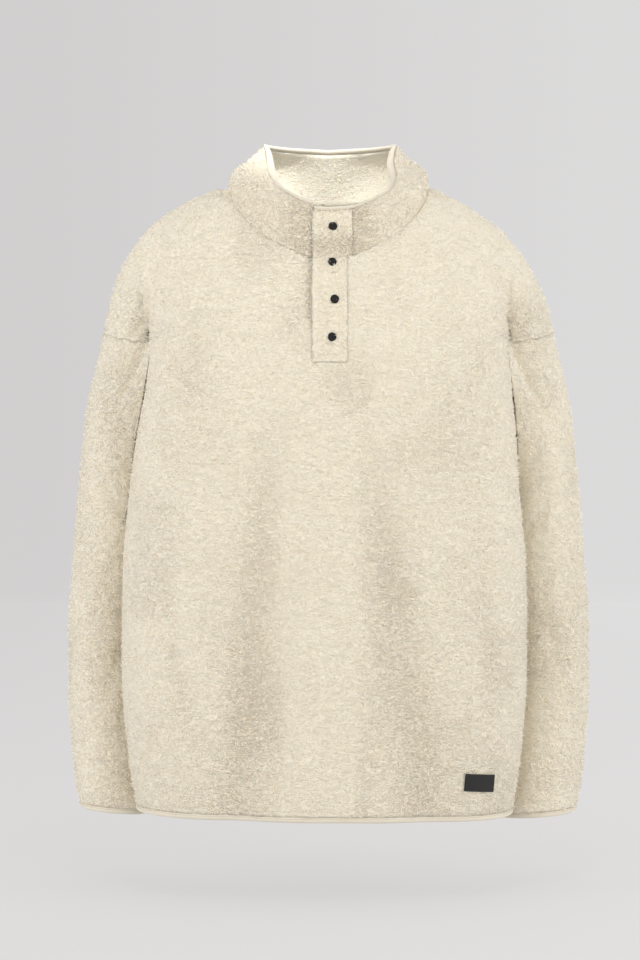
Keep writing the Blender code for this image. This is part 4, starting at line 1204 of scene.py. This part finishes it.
upper_face, upper_normals, upper_raised = placket(
    PLACKET_RIGHT + FREE_EDGE_SPACE, PLACKET_LEFT - SEAM, COLLAR_END_LEFT - 3 * SEAM,
    PLACKET_BOTTOM - SEAM, STRIP_PROUD,
)
SNAP_AT = ((0.0042, -0.0467), (0.0035, -0.0871), (0.0061, -0.1297), (0.0032, -0.1711))
SNAP_SIZE, SNAP_HEIGHT = 0.0048, 0.0026
snap_places = []
for x, z in SNAP_AT:
    away = np.hypot(upper_face[..., 0] - x, upper_face[..., 2] - z)
    row, column = np.unravel_index(np.argmin(away), away.shape)
    on_strip = upper_face[row, column]
    snap_places.append((on_strip + (x - on_strip[0], 0, 0), upper_normals[row, column]))
    inside = away < SNAP_SIZE * 0.95
    upper_raised = np.where(inside, -0.0012, upper_raised)
    upper_raised = upper_raised + 0.0010 * np.exp(-(((away - SNAP_SIZE * 1.25) / 0.0018) ** 2))
upper_moved = past_edge(upper_face, upper_normals, "right", 0.0009, 0.2)
upper_moved += past_edge(upper_face, upper_normals, "left", 0.0020, 0.5)
upper_moved += past_edge(upper_face, upper_normals, "first", 0.0014, 0.4)
# Where the strip crosses the neck seam, its curls run deeper and it takes painted shade.
ruffle_and_shade_across_seam = np.exp(-(((upper_face[..., 2] + 0.068) / 0.013) ** 2))
fleece(
    "placket_upper", upper_face, upper_normals, upper_raised, COLLARED, (STRIP_FIBRES, 41), (0.040, 0.23),
    loose_name="placket_fibres", moved=upper_moved, ruffle=ruffle_and_shade_across_seam,
)
under_face, under_normals, under_raised = placket(
    UNDERLAP_RIGHT, UNDERLAP_LEFT, UNDERLAP_LEFT, UNDERLAP_BOTTOM, -CLOTH - 3 * SEAM
)
under = shell(
    "placket_under_fleece", under_face, under_normals, CLOTH, COLLARED, raised=0.3 * under_raised - 0.0006
)
declare(under, "placket_under")

binding_levels = np.array([COLLAR_CLOTH_TOP + 0.01, 1.0])
strip_top = strip_face(
    PLACKET_RIGHT + FREE_EDGE_SPACE, PLACKET_LEFT, COLLAR_END_LEFT - SEAM, PLACKET_BOTTOM, 2,
    binding_levels,
)[-2:]
round_neck = np.array([collar_point(base, level) for level in binding_levels])
band_face = np.concatenate([strip_top[:, :-1], round_neck], axis=1)
band_out = grid_normals(band_face, 1).mean(axis=0)
band_out[-1, 0] = 0
band_out = unit(band_out)
band_up = band_face[1] - band_face[0]
proud = np.full(len(band_up), -BINDING_INSET)
proud[:STRIP_CELLS] = STRIP_PROUD
band_path = band_face[0] + band_out * proud[:, None]
collar_profile = rounded_profile(1.0, BINDING_THICK + 0.0008, 0.0014)
collar_band = profile_band("collar_band", band_path, band_out, band_up, collar_profile, BINDING, False)
declare(collar_band, "collar_binding")
sewn = band_path + band_up * 0.28 + band_out * 0.0007
band_thread = stitches(
    "collar_band_stitches", sewn, band_out, STITCH_SPACING, STITCH_WIDTH, BEIGE_THREAD
)
declare(band_thread, None)


def lathe(name, place, axis, profile, sides, finish):
    """A turned piece about an axis, from (radius, height) pairs; the first and last close on it."""
    side = unit(np.cross(axis, (0, 0, 1)))
    up = np.cross(side, axis)
    points = []
    for radius, height in profile:
        for step in range(sides):
            turn = 2 * math.pi * step / sides
            points.append(place + radius * (math.cos(turn) * side + math.sin(turn) * up) + axis * height)
    return new_object(name, np.array(points), stacked_rings(0, len(profile), sides), finish)


SNAP_PROFILE = (  # radius and height as shares of the cap's
    (0.90, 0.0), (0.99, 0.18), (1.0, 0.38), (0.985, 0.58), (0.94, 0.74), (0.86, 0.85), (0.74, 0.90),
    (0.62, 0.86), (0.54, 0.80), (0.46, 0.82), (0.38, 0.92), (0.26, 0.98), (0.14, 1.0), (0.03, 1.0),
)
for number, (place, axis) in enumerate(snap_places, start=1):
    profile = [(radius * SNAP_SIZE, height * SNAP_HEIGHT) for radius, height in SNAP_PROFILE]
    cap = lathe(f"snap_cap_{number}", place - axis * 0.0002, axis, profile, 40, SNAP)
    declare(cap, f"snap_{number}")

# The label: a thin woven patch on the front's form, with a stitched border.
cos, sin = math.cos(LABEL_TURN), math.sin(LABEL_TURN)
across = np.linspace(-1, 1, 29) * LABEL_HALF[0]
down = np.linspace(1, -1, 17)[:, None] * LABEL_HALF[1]
label_x = LABEL_AT[0] + across * cos - down * sin
label_z = LABEL_AT[1] + across * sin + down * cos
label_grid = surface(label_x - lean(-label_z), -label_z, FRONT, 1.0)
label_normals = grid_normals(label_grid, -1)
label_grid = label_grid + label_normals * (LABEL_THICK + 3 * SEAM)
label_raised = 0.0005 * (noise(label_grid, (0.010,) * 3) - 0.5)
patch = shell("label_patch", label_grid, label_normals, LABEL_THICK, WOVEN, raised=label_raised)
declare(patch, "label")
border = np.concatenate([
    label_grid[1, 1:-1], label_grid[1:-1, -2], label_grid[-2, 1:-1][::-1], label_grid[1:-1, 1][::-1],
])
border_facing = np.tile(label_normals[8, 14], (len(border), 1))
label_thread = stitches("label_stitches", border, border_facing, 0.0022, 0.0004, BLACK_THREAD, 0.0004)
declare(label_thread, None)


# ---- floor, light and camera -------------------------------------------------------------------

FLOOR_Z = CAD_BOX[0][2] - 0.076
STAGE_REACH, BEND_FROM = 9.0, 7.0  # the bend from floor to wall has a radius of 1 m
CAMERA_AT, FOCAL = (-0.010, -3.0, -0.327), 148.0


def stage_material():
    """Pale paper with painted light: it glows, so that shadows stay faint, and a little brighter to one
    side.
    """
    nodes = Nodes("studio_paper")
    apart = nodes.add("ShaderNodeSeparateXYZ")
    nodes.link(nodes.place, apart.inputs[0])
    side = nodes.maths("MULTIPLY_ADD", apart.outputs["X"], 0.45, 0.5)
    painted_glow = nodes.ramp(side, (0.0, (0.521, 0.509, 0.509)), (1.0, (0.592, 0.586, 0.586)))
    made = nodes.finish((0.15, 0.149, 0.148), 0.9)
    nodes.link(painted_glow, nodes.shader.inputs["Emission Color"])
    nodes.shader.inputs["Emission Strength"].default_value = 1.0
    return made


def studio():
    """A pale sweep: floor, round bend and wall."""
    path = [(-STAGE_REACH, 0.0)]
    for turn in np.linspace(0, math.pi / 2, 24):
        path.append((BEND_FROM + math.sin(turn), 1.0 - math.cos(turn)))
    path.append((BEND_FROM + 1.0, STAGE_REACH))
    points, faces = [], []
    for y, z in path:
        for x in (-STAGE_REACH, STAGE_REACH):
            points.append((x, y, z + FLOOR_Z))
    for step in range(len(path) - 1):
        a = 2 * step
        faces.append((a, a + 1, a + 3, a + 2))
    sweep = new_object("studio_sweep", np.array(points), faces, stage_material())
    return sweep


def area_light(name, place, target, size, power):
    light = bpy.data.lights.new(name, "AREA")
    light.shape = "RECTANGLE"
    light.size, light.size_y = size
    light.energy = power
    made = bpy.data.objects.new(name, light)
    bpy.context.scene.collection.objects.link(made)
    made.location = place
    aim = Vector(target) - Vector(place)
    made.rotation_euler = aim.to_track_quat("-Z", "Y").to_euler()
    made.visible_camera = False
    return made


sweep = studio()
area_light("key", (-2.8, -1.3, 0.2), (0, 0, -0.45), (1.4, 1.6), 37)
area_light("fill", (2.8, -1.4, 0.1), (0, 0, -0.45), (1.8, 2.2), 43)
area_light("front", (0.1, -3.6, -0.2), (0, 0, -0.5), (2.2, 1.6), 8)
area_light("over", (0.0, -1.3, 1.2), (0, 0.05, 0.03), (0.5, 0.4), 6)
behind = area_light("behind", (0.5, 3.4, 0.9), (0, 0, -0.35), (1.8, 1.8), 26)
beam = bpy.data.lights.new("into_collar", "SPOT")
beam.energy = 185
beam.spot_size, beam.spot_blend, beam.shadow_soft_size = math.radians(6.0), 0.8, 0.04
into_collar = bpy.data.objects.new("into_collar", beam)
bpy.context.scene.collection.objects.link(into_collar)
into_collar.location = (-0.15, -1.3, 1.65)
aim = Vector((-0.022, 0.055, 0.040)) - into_collar.location
into_collar.rotation_euler = aim.to_track_quat("-Z", "Y").to_euler()
# These two light everything but the paper.
paper = bpy.data.collections.new("paper_only")
paper.objects.link(sweep)
paper.collection_objects[0].light_linking.link_state = "EXCLUDE"
for light in (into_collar, behind):
    light.light_linking.receiver_collection = paper
world = bpy.data.worlds.new("studio_light")
world.use_nodes = True
world.node_tree.nodes["Background"].inputs["Color"].default_value = (1.0, 0.995, 0.985, 1)
world.node_tree.nodes["Background"].inputs["Strength"].default_value = 0.66
bpy.context.scene.world = world
bpy.context.scene.view_settings.view_transform = "Standard"

camera_data = bpy.data.cameras.new("camera")
camera_data.sensor_fit = "HORIZONTAL"
camera_data.sensor_width = 36.0
camera_data.lens = FOCAL
camera = bpy.data.objects.new("camera", camera_data)
bpy.context.scene.collection.objects.link(camera)
camera.location = CAMERA_AT
camera.rotation_euler = (math.pi / 2, 0, 0)
bpy.context.scene.camera = camera
